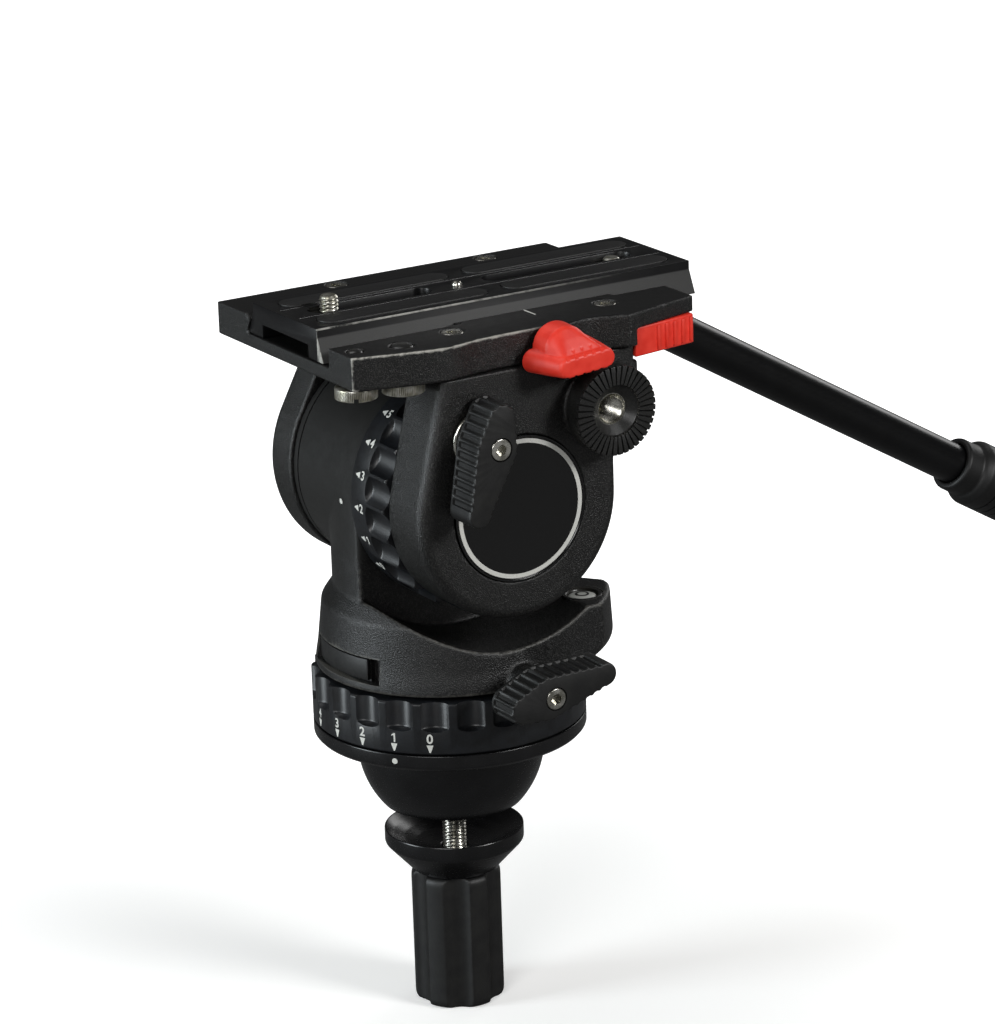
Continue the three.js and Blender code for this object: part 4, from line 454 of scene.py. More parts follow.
def turned(profile, axis="Z", centre=FREE, steps=FINE_TURN, ease=0):
    """A profile of (radius, height) turned round an axis, drawn from axis to axis or closed on itself."""
    hollow = profile[0][0] > 0
    if hollow:
        profile = [((profile[0][0] + profile[-1][0]) / 2, (profile[0][1] + profile[-1][1]) / 2)] + profile
        profile.append(profile[0])
    points = rounded(profile, ease) if ease else profile
    if hollow:
        points = points[:-1]
    vertices = []
    for step in range(steps):
        angle = step / steps * math.tau
        vertices += [place(axis, centre, r * math.cos(angle), r * math.sin(angle), h) for r, h in points]
    count = len(points)
    faces = []
    for j in range(steps):
        k = (j + 1) % steps
        for i in range(count if hollow else count - 1):
            n = (i + 1) % count
            faces.append((j * count + i, k * count + i, k * count + n, j * count + n))
    return shell(vertices, faces)


def rod(radius, low, high, axis="Z", centre=FREE, steps=FINE_TURN, ease=0):
    return turned([(0, low), (radius, low), (radius, high), (0, high)], axis, centre, steps, ease)


def small_rod(radius, low, high, axis="Z", centre=FREE):
    return rod(radius, low, high, axis, centre, SMALL_TURN)


def hoop(inner, outer, low, high, axis, centre=FREE, steps=FINE_TURN):
    return turned([(inner, low), (outer, low), (outer, high), (inner, high)], axis, centre, steps)


def slab(outline, low, high, axis="Z", centre=FREE):
    """An outline spread along an axis."""
    return grid([[place(axis, centre, u, v, w) for u, v in outline] for w in (low, high)])


def block(x, y, z):
    return slab([(x[0], y[0]), (x[1], y[0]), (x[1], y[1]), (x[0], y[1])], z[0], z[1])


def arc(x, y, radius, start, end, steps):
    """Corners along an arc between two angles in degrees."""
    turns = [math.radians(start + (end - start) * i / steps) for i in range(steps + 1)]
    return [(x + radius * math.cos(t), y + radius * math.sin(t)) for t in turns]


def pill(start, end, side, half):
    return arc(end - half, side, half, -90, 90, 12) + arc(start + half, side, half, 90, 270, 12)


def renewed(obj):
    """The object with its modifiers worked into its mesh."""
    bpy.context.view_layer.update()
    graph = bpy.context.evaluated_depsgraph_get()
    mesh = bpy.data.meshes.new_from_object(obj.evaluated_get(graph))
    old = obj.data
    obj.modifiers.clear()
    obj.data = mesh
    bpy.data.meshes.remove(old)
    return obj


def drop(obj):
    mesh = obj.data
    bpy.data.objects.remove(obj)
    bpy.data.meshes.remove(mesh)


def worked(body, others, operation):
    """The body with other solids joined on or cut away one by one, which are used up."""
    for other in others:
        step = body.modifiers.new("work", "BOOLEAN")
        step.operation = operation
        step.solver = "MANIFOLD"
        step.object = other
        renewed(body)
        drop(other)
    return body


def joined(body, *others):
    return worked(body, others, "UNION")


def cut(body, *others):
    return worked(body, others, "DIFFERENCE")


def common(body, *others):
    return worked(body, others, "INTERSECT")


def eased(body, width, segments=2, angle=35):
    """Edges eased by a small round."""
    round_off = body.modifiers.new("ease", "BEVEL")
    round_off.width = width * MM
    round_off.segments = segments
    round_off.limit_method = "ANGLE"
    round_off.angle_limit = math.radians(angle)
    return renewed(body)


def cast(body, voxel, passes, keep):
    """The soft edges of a casting: the solid's skin is drawn anew and smoothed."""
    skin = body.modifiers.new("skin", "REMESH")
    skin.mode = "VOXEL"
    skin.voxel_size = voxel * MM
    soften = body.modifiers.new("soften", "SMOOTH")
    soften.factor = 0.5
    soften.iterations = passes
    thin = body.modifiers.new("thin", "DECIMATE")
    thin.ratio = keep
    return renewed(body)


def moved(obj, matrix):
    obj.data.transform(matrix)
    if matrix.determinant() < 0:
        obj.data.flip_normals()
    return obj


def shifted(obj, x, y, z):
    return moved(obj, Matrix.Translation((x * MM, y * MM, z * MM)))


def rotated(obj, angle, axis):
    return moved(obj, Matrix.Rotation(math.radians(angle), 4, axis))


# Geometry Nodes: repeats and the swept bar
def plan(name, **inputs):
    """An empty geometry tree with named inputs."""
    tree = bpy.data.node_groups.new(name, "GeometryNodeTree")
    for label, kind in inputs.items():
        tree.interface.new_socket(label, in_out="INPUT", socket_type="NodeSocket" + kind)
    tree.interface.new_socket("Geometry", in_out="OUTPUT", socket_type="NodeSocketGeometry")
    return tree, add(tree, "NodeGroupInput").outputs


def closed_plan(tree, geometry):
    whole = add(tree, "GeometryNodeRealizeInstances", links={0: geometry})
    add(tree, "NodeGroupOutput", links={0: whole.outputs[0]})
    return tree


def copied(tree, given, where):
    """The given shape on every point."""
    shape = add(tree, "GeometryNodeObjectInfo", links={0: given["Shape"]}).outputs["Geometry"]
    return add(tree, "GeometryNodeInstanceOnPoints", links={"Instance": shape, **where}).outputs[0]


def ring_plan():
    """Copies of a shape set round Z on a circle, each turned to face out."""
    tree, given = plan("copies_round_an_axis", Shape="Object", Count="Int", Radius="Float")
    sizes = {"Vertices": given["Count"], "Radius": given["Radius"]}
    circle = add(tree, "GeometryNodeMeshCircle", links=sizes).outputs[0]
    where = add(tree, "GeometryNodeInputPosition").outputs[0]
    outward = add(tree, "FunctionNodeAlignEulerToVector", links={"Vector": where}, axis="X", pivot_axis="Z")
    return closed_plan(tree, copied(tree, given, {"Points": circle, "Rotation": outward.outputs[0]}))


def row_plan():
    """Copies of a shape along a straight line."""
    tree, given = plan("copies_along_a_line", Shape="Object", Count="Int", Start="Vector", Step="Vector")
    line = add(tree, "GeometryNodeMeshLine", links={
        "Count": given["Count"], "Start Location": given["Start"], "Offset": given["Step"],
    })
    return closed_plan(tree, copied(tree, given, {"Points": line.outputs[0]}))


def sweep_plan():
    """A round bar along a route of straight edges, bent to a radius at each corner."""
    tree, given = plan("bar_along_a_route", Route="Object", Radius="Float", Bend="Float")
    route = add(tree, "GeometryNodeObjectInfo", links={0: given["Route"]}).outputs["Geometry"]
    line = add(tree, "GeometryNodeMeshToCurve", links={0: route}).outputs[0]
    bent = add(tree, "GeometryNodeFilletCurve", {"Count": 24}, {
        "Curve": line, "Radius": given["Bend"],
    }, mode="POLY")
    section = add(tree, "GeometryNodeCurvePrimitiveCircle", {"Resolution": 64}, {"Radius": given["Radius"]})
    bar = add(tree, "GeometryNodeCurveToMesh", {"Fill Caps": True}, {
        "Curve": bent.outputs[0], "Profile Curve": section.outputs[0],
    })
    return closed_plan(tree, bar.outputs[0])


RING_PLAN, ROW_PLAN, SWEEP_PLAN = ring_plan(), row_plan(), sweep_plan()


def grown(tree, **values):
    """What a tree makes from its inputs, as an object with a plain mesh; the source shape is used up."""
    made = shell([FREE], [])
    growth = made.modifiers.new("growth", "NODES")
    growth.node_group = tree
    for item in tree.interface.items_tree:
        if item.in_out == "INPUT":
            growth[item.identifier] = values[item.name]
    renewed(made)
    drop(values.get("Shape") or values["Route"])
    return made


def copies_round(shape, count):
    """Copies of a shape turned about Z, on a circle so small that it is only taken off the shape first."""
    tiny = 0.1
    return grown(RING_PLAN, Shape=shifted(shape, -tiny, 0, 0), Count=count, Radius=tiny * MM)


def copies_along(shape, count, start, step):
    start, step = [c * MM for c in start], [c * MM for c in step]
    return grown(ROW_PLAN, Shape=shape, Count=count, Start=start, Step=step)


# Handing a finished piece over to the frame
def set_material(obj, material):
    obj.data.materials.clear()
    obj.data.materials.append(material)


def piece(obj, name, body, material, nodes=(), angle=32):
    """Names the piece, gives it its finish and lets it ride; it stands for the CAD nodes named."""
    obj.name = obj.data.name = name
    set_material(obj, material)
    obj.data.polygons.foreach_set("material_index", [0] * len(obj.data.polygons))
    obj.data.shade_smooth()
    obj.data.set_sharp_from_angle(angle=math.radians(angle))
    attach(obj, body)
    if nodes:
        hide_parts(*nodes)
    return obj


def stands_for(obj, node, body, material, angle=32):
    """A piece that replaces one CAD node."""
    return piece(obj, node + "_dressed", body, material, [node], angle)


# Threads, screws and knobs
def thread(radius, low, high, pitch, depth, steps, tip=0.8):
    """A rod on Z with a real screw thread and a chamfered tip."""
    rows = int((high - low) / pitch * 6)
    rings = []
    for row in range(rows + 1):
        height = low + (high - low) * row / rows
        chamfer = max(0.0, 1 - (high - height) / tip) * tip * 0.8
        ring = []
        for step in range(steps):
            turn = step / steps
            wave = abs(((height / pitch - turn) % 1.0) * 2 - 1)
            reach = min(radius - depth * wave, radius - chamfer)
            ring.append((reach * math.cos(turn * math.tau), reach * math.sin(turn * math.tau), height))
        rings.append(ring)
    return grid(rings)


def cap_head(seat, height, axis, centre):
    """The head of a socket cap screw, with its hexagon socket; a height below 0 points it the other way."""
    radius, hexagon_radius, depth = 4.3, 2.3, 2.6
    top = seat + height
    ends = sorted((top - math.copysign(depth, height), top + math.copysign(1, height)))
    hexagon = arc(0, 0, hexagon_radius, 0, 300, 5)
    return cut(rod(radius, seat, top, axis, centre, SMALL_TURN, 0.5), slab(hexagon, *ends, axis, centre))


def fluted(radius, low, high, lobes, flute, depth, axis="Z", centre=FREE, voxel=0.5):
    """A hand knob with finger hollows round its side."""
    knob = rod(radius, low, high, ease=3)
    hollow = shifted(small_rod(flute, low - 2, high + 2), radius - depth + flute, 0, 0)
    cut(knob, copies_round(hollow, lobes))
    cast(knob, voxel, 4, 0.35)
    if axis == "Y":
        rotated(knob, -90, "X")
    return shifted(knob, *centre)


# Half ball, clamp and base
def dress_clamp():
    ball = [(STUD_BORE, 5.0)] + arc(0, 0, 37.5, 7.7, -41.8, 24) + [(16, -25), (16, -19), (STUD_BORE, -19)]
    stands_for(turned(ball, ease=0.5), "half_ball", "base", ANODISED)
    stud = thread(5, -92, 24, 1.5, 0.75, 32)
    stands_for(stud, "tie_down_stud", "base", STAINLESS, 60)
    bowl = 46
    dish = [(r, -math.sqrt(bowl ** 2 - r ** 2)) for r in (28, 24, 20, 15, 10, STUD_BORE)]
    foot = dish[0][1]
    cup = [(STUD_BORE, foot - 18), (17, foot - 18), (28, foot - 6)] + dish
    stands_for(turned(cup, ease=0.8), "clamp_cup", "clamp", ANODISED)
    top = foot - 18.3
    knob = cut(fluted(18, top - 56, top, 6, 7, 3), small_rod(STUD_BORE, top - 46, top + 2))
    stands_for(knob, "tie_down_knob", "knob", LEVER_PLASTIC)


def dress_base():
    profile = [(STUD_BORE, BASE_LOW), (53.1, BASE_LOW), (PAN_RADIUS, 6.9), (PAN_RADIUS, BASE_TOP),
               (COLLAR_RADIUS, BASE_TOP), (COLLAR_RADIUS, 34.8), (41, 34.8), (41, 14), (STUD_BORE, 14)]
    stands_for(turned(profile, ease=0.45), "base_plate", "base", ANODISED)


# Drag rings
def ring_body(inner, outer, height, band, phase):
    """A drag ring on Z: a plain band below, and finger pockets with round feet above it."""
    body = turned([(inner, 0), (outer - 0.8, 0), (outer, 0.8), (outer, height - 0.6), (outer - 0.6, height),
                   (inner, height)], ease=0.3, steps=BIG_TURN)
    wide, deep = 7.2, 2.9
    foot = [(wide * math.sin(t), band + 2.6 * (1 - math.cos(t))) for t in
            [math.radians(a) for a in range(0, 91, 15)]]
    pocket = turned(foot + [(wide, height + 2), (0, height + 2)], steps=SMALL_TURN)
    shifted(pocket, outer - deep + wide, 0, 0)
    return eased(cut(body, rotated(copies_round(pocket, POCKETS), phase, "Z")), 0.4, 2, 28)


def flat(outline):
    """A shape as thick as print."""
    return slab(outline, -INK, INK)


def dot(radius):
    return flat(arc(0, 0, radius, 0, 350, 35))


def digit(text, size):
    """A plain figure centred on the origin, in X and Y."""
    if text == "1":
        stroke = [(-0.02, -0.35), (0.1, -0.35), (0.1, 0.35), (0.0, 0.35), (-0.19, 0.22), (-0.19, 0.12),
                  (-0.02, 0.19)]
        return flat([(x * size, y * size) for x, y in stroke])
    curve = bpy.data.curves.new("figure", "FONT")
    curve.body = text
    curve.size = size * MM
    curve.align_x = curve.align_y = "CENTER"
    curve.extrude = INK * MM
    curve.offset = 0.0225 * size * MM
    source = linked("figure", curve)
    bpy.context.view_layer.update()
    graph = bpy.context.evaluated_depsgraph_get()
    mesh = bpy.data.meshes.new_from_object(source.evaluated_get(graph))
    bpy.data.objects.remove(source)
    bpy.data.curves.remove(curve)
    return linked("figure", mesh)


def round_z(obj, radius, angle, height):
    """Bends a flat shape on to an upright cylinder: Y becomes up and X runs round."""
    for vertex in obj.data.vertices:
        x, y, z = vertex.co
        turn = math.radians(angle) + x / (radius * MM)
        reach = radius * MM + z
        vertex.co = (reach * math.cos(turn), reach * math.sin(turn), height * MM + y)
    return obj


def round_y(obj, radius, up, side):
    """Bends a flat shape on to the front of a cylinder about the tilt axis: X runs to -Y and Y runs up."""
    for vertex in obj.data.vertices:
        x, y, z = vertex.co
        turn = math.radians(up) + y / (radius * MM)
        reach = radius * MM + z
        vertex.co = (-reach * math.cos(turn), side * MM - x, TILT_AXIS * MM + reach * math.sin(turn))
    return obj


def merged(objects):
    """Several plain objects as one."""
    build = bmesh.new()
    for obj in objects:
        build.from_mesh(obj.data)
        drop(obj)
    mesh = bpy.data.meshes.new("merged")
    build.to_mesh(mesh)
    build.free()
    return linked("merged", mesh)


def dress_pan_ring():
    ring = shifted(ring_body(COLLAR_RADIUS + SEAT, PAN_RADIUS, RING_HEIGHT, 9.0, 8.5), 0, 0, BASE_TOP + SEAT)
    stands_for(ring, "pan_drag_ring", "pan_ring", RING_PLASTIC, 40)
    face = PAN_RADIUS + INK_LIFT
    prints = []
    for number in range(5):
        angle = PAN_ZERO - number * PAN_STEP
        prints.append(round_z(digit(str(number), 5.2), face, angle, BASE_TOP + 7.1))
        arrow = flat([(-1.35, 4.3), (1.35, 4.3), (0.25, 1.2), (-0.25, 1.2)])
        prints.append(round_z(arrow, face, angle, BASE_TOP + 0.4))
    piece(merged(prints), "pan_ring_numbers", "pan_ring", WHITE_PRINT)
    piece(round_z(dot(1.15), face, PAN_ZERO - PAN_STEP, 9.3), "pan_index_dot", "base", WHITE_PRINT)


def dress_tilt_ring():
    ring = rotated(ring_body(DRUM_RADIUS - 6.4, TILT_RING_RADIUS, 25.4, 10.8, 6.5), 90, "X")
    shifted(ring, 0, NECK_NEAR - SEAT, TILT_AXIS)
    stands_for(ring, "tilt_drag_ring", "tilt_ring", RING_PLASTIC, 40)
    prints = []
    for number in range(6):
        arrow = flat([(0.1, 1.3), (0.1, -1.3), (-2.7, -0.2), (-2.7, 0.2)])
        label = merged([shifted(digit(str(number), 5.0), 2.3, 0, 0), arrow])
        up = TILT_REST + (number - 2) * TILT_STEP
        prints.append(round_y(label, TILT_RING_RADIUS + INK_LIFT, up, -15.6))
    piece(merged(prints), "tilt_ring_numbers", "tilt_ring", WHITE_PRINT)
    piece(round_y(dot(1.1), DRUM_RADIUS + 0.7, -4.6, 0.9), "tilt_index_dot", "pan_unit", WHITE_PRINT)


# Pan housing
def housing_solid():
    low = HOUSING_LOW
    lower = turned([(0, low), (52.7, low), (52.2, low + 4), (51.3, low + 9), (49.3, low + 26.9),
                    (44.7, low + 33.5), (0, low + 33.5)], ease=0.8)
    slab_neck = block((-52.7, 52.7), (NECK_NEAR, NECK_FAR), (low + 25, TILT_AXIS))
    neck = common(rod(44.7, low + 25, TILT_AXIS), slab_neck)
    drum = rod(DRUM_RADIUS, NECK_NEAR, NECK_FAR, "Y", DRUM_AXIS)
    lobe_line = [(0, 0), (0, -50.4)] + arc(43.5, -36, 14.5, -90, -25, 14) + [(58.2, -25), (50.5, -15)]
    flared = turned([(0, low + 3), (60, low + 3), (66, low + 9), (65, LOBE_TOP), (0, LOBE_TOP)], ease=1.5)
    return joined(lower, neck, drum, common(slab(lobe_line, low + 3, LOBE_TOP), flared))


def brake_bore(axis):
    return small_rod(SCREW_BORE, BRAKE_BACK - 2, BRAKE_BACK + 11, "Y", axis)


def dress_housing():
    low = HOUSING_LOW
    boss = common(rod(7, BRAKE_BACK + SEAT, -40, "Y", PAN_BRAKE),
                  block((-12, 18), (BRAKE_BACK, -38), (low, low + 17)))
    cover_low, cover_high = low + 3.3, low + 13.5
    groove = arc(0, 0, 55, 157.6, 208.6, 30) + arc(0, 0, 48.6, 208.6, 157.6, 30)
    notch = arc(0, 0, 55, 201.8, 208.6, 6) + arc(0, 0, 46.5, 208.6, 201.8, 6)
    body = cut(
        joined(housing_solid(), boss),
        rod(60, NECK_NEAR - 106, NECK_NEAR, "Y", DRUM_AXIS, BIG_TURN),
        rod(60, NECK_FAR, NECK_FAR + 53, "Y", DRUM_AXIS, BIG_TURN),
    )
    cut(
        cast(body, 0.7, 9, 0.45),
        rod(40, low - 2, low + 12.9),
        rod(38, NECK_NEAR - 2, 30, "Y", DRUM_AXIS),
        rod(20, 0, NECK_FAR + 2, "Y", DRUM_AXIS),
        slab(groove, cover_low, cover_high),
        slab(notch, cover_low, cover_high),
        rod(8.3, LOBE_TOP - 7.3, TILT_AXIS, "Z", BUBBLE),
        brake_bore(PAN_BRAKE),
        hoop(DRUM_RADIUS - 0.7, DRUM_RADIUS + 1, 35.6, 36.4, "Y", DRUM_AXIS),
    )
    stands_for(body, "pan_housing", "pan_unit", HOUSING_PAINT, 50)
    cover = slab(arc(0, 0, 50.5, 158, 201.4, 40) + arc(0, 0, 48.9, 201.4, 158, 40), low + 4.1, low + 12.7)
    stands_for(eased(cover, 0.35), "battery_cover", "battery_lid", LEVER_PLASTIC)


def dress_bubble():
    top = LOBE_TOP
    bezel = turned([(0, top - 7), (8, top - 7), (8, top), (6.6, top), (6, top - 0.8), (6, top - 6),
                    (0, top - 6)], "Z", BUBBLE, SMALL_TURN, 0.3)
    stands_for(bezel, "bubble_bezel", "pan_unit", BLACK_OXIDE)
    crown = [(5.7 * math.sin(t), top - 0.2 - 1.1 * (1 - math.cos(t))) for t in
             [math.radians(a) for a in range(90, 0, -10)]]
    vial = turned([(0, top - 5.7), (5.7, top - 5.7)] + crown + [(0, top - 0.2)], "Z", BUBBLE, SMALL_TURN)
    stands_for(vial, "bubble_vial", "pan_unit", VIAL)
    circle = hoop(1.9, 2.8, top - 0.9, top - 0.18, "Z", BUBBLE, SMALL_TURN)
    piece(circle, "bubble_circle", "pan_unit", LEVER_PLASTIC)


# Brake levers
def lever_outline(bend, inset, wave):
    """The lever's outline about its pivot, long end along X, with scallops of a depth along its flanks."""
    hub, long_reach, long_end, short_reach, short_end = 9.2, 25.9, 4.8, 12.0, 6.2
    lean_long = math.degrees(math.acos((hub - long_end) / long_reach))
    lean_short = math.degrees(math.acos((hub - short_end) / short_reach))
    sx, sy = short_reach * math.cos(math.radians(bend)), short_reach * math.sin(math.radians(bend))
    corners = arc(long_reach, 0, long_end, -lean_long, lean_long, 24)
    corners += arc(0, 0, hub, lean_long, bend - lean_short, 10)
    corners += arc(sx, sy, short_end, bend - lean_short, bend + lean_short, 24)
    corners += arc(0, 0, hub, bend + lean_short, 360 - lean_long, 2)
    dense = []
    for (x0, y0), (x1, y1) in zip(corners, corners[1:] + corners[:1]):
        parts = max(1, int(math.hypot(x1 - x0, y1 - y0) / 0.3))
        dense += [(x0 + (x1 - x0) * i / parts, y0 + (y1 - y0) * i / parts) for i in range(parts)]
    result, travelled = [], 0.0
    for i, (x, y) in enumerate(dense):
        (xa, ya), (xb, yb) = dense[i - 1], dense[(i + 1) % len(dense)]
        travelled += math.hypot(x - xa, y - ya)
        along = math.hypot(xb - xa, yb - ya) or 1.0
        nx, ny = (yb - ya) / along, (xa - xb) / along
        hollow = min(1.0, 1.7 * (0.5 - 0.5 * math.cos(travelled / RIB_PITCH * math.tau)))
        dip = 0 if x > long_reach - 1 else wave * hollow
        result.append((x - nx * (inset + dip), y - ny * (inset + dip)))
    return result


def lever_body(bend):
    """A brake lever with its back at 0, its face in front of it along -Y and its long end along X."""
    layers = [(0, 0.5, 0), (0.5, 0, 0), (1.7, 0, 0), (2.0, 0, 0.85), (12.8, 0.1, 0.8), (14.1, 0.15, 0.55),
              (14.7, 0.3, 0.5), (15.0, 0.55, 0.45), (15.1, 0.9, 0.4)]
    return grid([[(x, -depth, z) for x, z in lever_outline(bend, inset, wave)]
                 for depth, inset, wave in layers])


def dress_lever(body, axis, angle, bend, off):
    """A lever and its screw; the moulding stands off its pivot by a little, in X and Z."""
    floor = -9.8  # of the screw's counterbore, before the lever's back
    pivot = (axis[0], BRAKE_BACK, axis[2])
    lever = shifted(rotated(lever_body(bend), -angle, "Y"), off[0], 0, off[1])
    cut(lever, small_rod(4.7, -17, floor, "Y"), small_rod(2.9, -11, 1, "Y"))
    stands_for(shifted(lever, *pivot), f"{body}_lever", body, LEVER_PLASTIC, 38)
    head = rotated(cap_head(floor - SEAT, -5, "Y", FREE), -angle, "Y")
    whole = shifted(merged([head, small_rod(2.4, -10.3, 10, "Y")]), *pivot)
    stands_for(whole, f"{body}_screw", body, STAINLESS)


# Cheeks
def cheek_line(full, front, inset):
    """A cheek's outline in X and Z about the tilt axis, drawn in by an inset all round but at its top."""
    top, rear, rise, shoulder = 55.8, 36.2, 35.4, 20 - inset
    radius = full - inset
    touch = math.atan2(top, -front) + math.acos(full / math.hypot(front, top))
    start = ((radius - top * math.sin(touch)) / math.cos(touch), top)
    blend = math.radians(-50)
    meet = (rear + shoulder * math.cos(blend), rise + shoulder * math.sin(blend))
    corner = (radius, meet[1] - (meet[0] - radius) / math.tan(-blend))
    foot = (radius, 11)
    curve = []
    for i in range(12):
        t = i / 12
        curve.append(tuple(f * (1 - t) ** 2 + c * 2 * t * (1 - t) + m * t ** 2
                           for f, c, m in zip(foot, corner, meet)))
    line = [start] + arc(0, 0, radius, math.degrees(touch), 360, 90) + curve
    line += arc(rear, rise, shoulder, -50, 0, 12) + [(rear + shoulder, top)]
    return [(x, z + TILT_AXIS) for x, z in line]


def cheek_body(full, front, inner, outer):
    """A cheek from its flat inner face to its outer face, with a round of 4 mm at its rim."""
    out = math.copysign(1, outer)
    rim = 4.0
    steps = [(0.4, inner), (0, inner + out * 0.4)]
    for i in range(7):
        angle = math.radians(15 * i)
        steps.append((rim * (1 - math.cos(angle)), outer - out * rim * (1 - math.sin(angle))))
    return grid([[(x, y, z) for x, z in cheek_line(full, front, inset)] for inset, y in steps])


def screw_bores(side):
    return [small_rod(SCREW_BORE, CHEEK_TOP - 10.3, CHEEK_TOP + 2, "Z", (x, side, 0))
            for x in CARRIER_SCREWS_X]


def latch_room(outer, spare=0):
    """The latch's slot, open to the near side and the back, with some spare on its other sides."""
    line = [(53.1 - spare, outer), (53.1 - spare, -52.1 + spare), (86, -43.2 + spare), (86, outer)]
    return slab(line, 159.6, 173.7 + spare)


def dress_cheeks():
    near = cheek_body(44.3, 32.3, NEAR_INNER, NEAR_OUTER)
    joined(near, rod(15, -64, NEAR_OUTER + 4, "Y", ROSETTE_AXIS),
           small_rod(7, BRAKE_BACK + SEAT, -50, "Y", TILT_BRAKE))
    cut(
        near,
        rod(29.3, -61.5, NEAR_OUTER + 1.4, "Y", DRUM_AXIS),
        small_rod(ROSETTE_BORE, -70, -45.4, "Y", ROSETTE_AXIS),
        rod(12.3, -50.3, NEAR_INNER + 2, "Y", DRUM_AXIS),
        brake_bore(TILT_BRAKE),
        latch_room(-62),
        *screw_bores(CARRIER_SCREWS_NEAR),
    )
    stands_for(cast(near, 0.55, 4, 0.4), "near_cheek", "tilt_unit", CRINKLE, 50)
    far = cheek_body(45.5, 22.0, FAR_INNER, FAR_OUTER)
    joined(far, rod(15, FAR_OUTER - 4, 64, "Y", ROSETTE_AXIS))
    cut(far, small_rod(5, 44, 70, "Y", ROSETTE_AXIS), rod(12.3, 38, 55.6, "Y", DRUM_AXIS),
        *screw_bores(CARRIER_SCREWS_FAR))
    stands_for(cast(far, 0.65, 4, 0.35), "far_cheek", "tilt_unit", CRINKLE, 50)


def dress_badge():
    back, front = NEAR_OUTER + 1.1, NEAR_OUTER - 0.3
    disc = turned([(0, back), (28.9, back), (28.9, front), (28.3, front), (28.0, front + 0.3),
                   (0, front + 0.25)], "Y", DRUM_AXIS, BIG_TURN, 0.1)
    stands_for(disc, "badge", "tilt_unit", BADGE_BLACK, 20)
    ring = turned([(25.9, front + 0.3), (25.9, front + 0.14), (27.6, front + 0.14), (27.6, front + 0.3)], "Y",
                  DRUM_AXIS, BIG_TURN)
    piece(ring, "badge_ring", "tilt_unit", SILVER_INK)


def dress_collar():
    profile = [(7.3, -61.4), (11, -61.4), (11.5, -60.9), (11.5, -60), (7.3, -60)]
    ring = turned(profile, "Y", TILT_BRAKE, 96, 0.25)
    stands_for(ring, "tilt_brake_collar", "tilt_unit", STAINLESS)


# Rosettes
def rosette_body(thick):
    """A toothed disc on Z, from its back at 0 to its tooth tips, with radial grooves and a coned mouth."""
    disc = turned([(ROSETTE_BORE, 0), (ROSETTE_RADIUS, 0), (ROSETTE_RADIUS, thick), (10.2, thick),
                   (10.0, thick - 1.2), (ROSETTE_BORE, thick - min(4.0, thick - 1))],
                  steps=BIG_TURN, ease=0.2)
    ends = []
    for reach, width, depth in ((9.4, 0.22, 1.1), (19.0, 0.5, 1.5)):
        brim, root = thick + 0.4, thick - depth
        ends.append([(reach, -width, brim), (reach, width, brim), (reach, width * 0.5, root),
                     (reach, -width * 0.5, root)])
    return cut(disc, copies_round(grid(ends), 40))


def dress_rosettes():
    back = ROSETTE_FACE - 8.6
    for node, body, thick, turn, y in (("near_rosette", "tilt_unit", 8.6, 90, -back),
                                       ("far_rosette", "tilt_unit", 8.6, -90, back),
                                       ("bar_rosette", "pan_bar", 4.6, 90, ROSETTE_FACE + SEAT + 4.6)):
        disc = shifted(rotated(rosette_body(thick), turn, "X"), ROSETTE_X, y, ROSETTE_Z)
        stands_for(disc, node, body, ROSETTE_COAT, 25)
    inside = [(4.6 if i % 2 else 5.7, -46.3 - 0.9 * i) for i in range(25)]
    sleeve = turned(inside + [(6.0, -68.8), (6.2, -68.8), (6.2, -46.3)], "Y", ROSETTE_AXIS, 96)
    piece(sleeve, "rosette_thread_insert", "tilt_unit", STAINLESS, angle=60)


# Carrier
def carrier_line():
    """The carrier's outline from above, with the waved near edge."""
    half, front, length = 53.4, -67.2, 151.2
    shares = [(0.127, 1.086), (0.239, 1.148), (0.345, 1.097), (0.438, 1.086), (0.53, 1.086), (0.603, 1.112),
              (0.669, 1.086), (0.735, 1.137), (0.77, 1.187)]
    knots = [(front + length * a, -half * b) for a, b in shares]
    wave = []
    for i in range(len(knots) - 1):
        four = [knots[max(0, min(len(knots) - 1, i + k))] for k in (-1, 0, 1, 2)]
        for step in range(8):
            t = step / 8
            wave.append(tuple(0.5 * (2 * b + (c - a) * t + (2 * a - 5 * b + 4 * c - d) * t ** 2
                                     + (3 * b - a - 3 * c + d) * t ** 3) for a, b, c, d in zip(*four)))
    return [(front, half), (front, -half * 0.983)] + wave + [knots[-1], (84, -half * 1.015), (84, half)]


def moving_room(spare):
    """The clamp bar's pocket and the latch's slot in the carrier, with some spare on every side."""
    pocket = block((-8.3 - spare, 60.3 + spare), (-36.6 - spare, -32),
                   (TILT_AXIS + 61.7, CARRIER_TOP - 1.2 + spare))
    return [pocket, latch_room(-66, spare)]


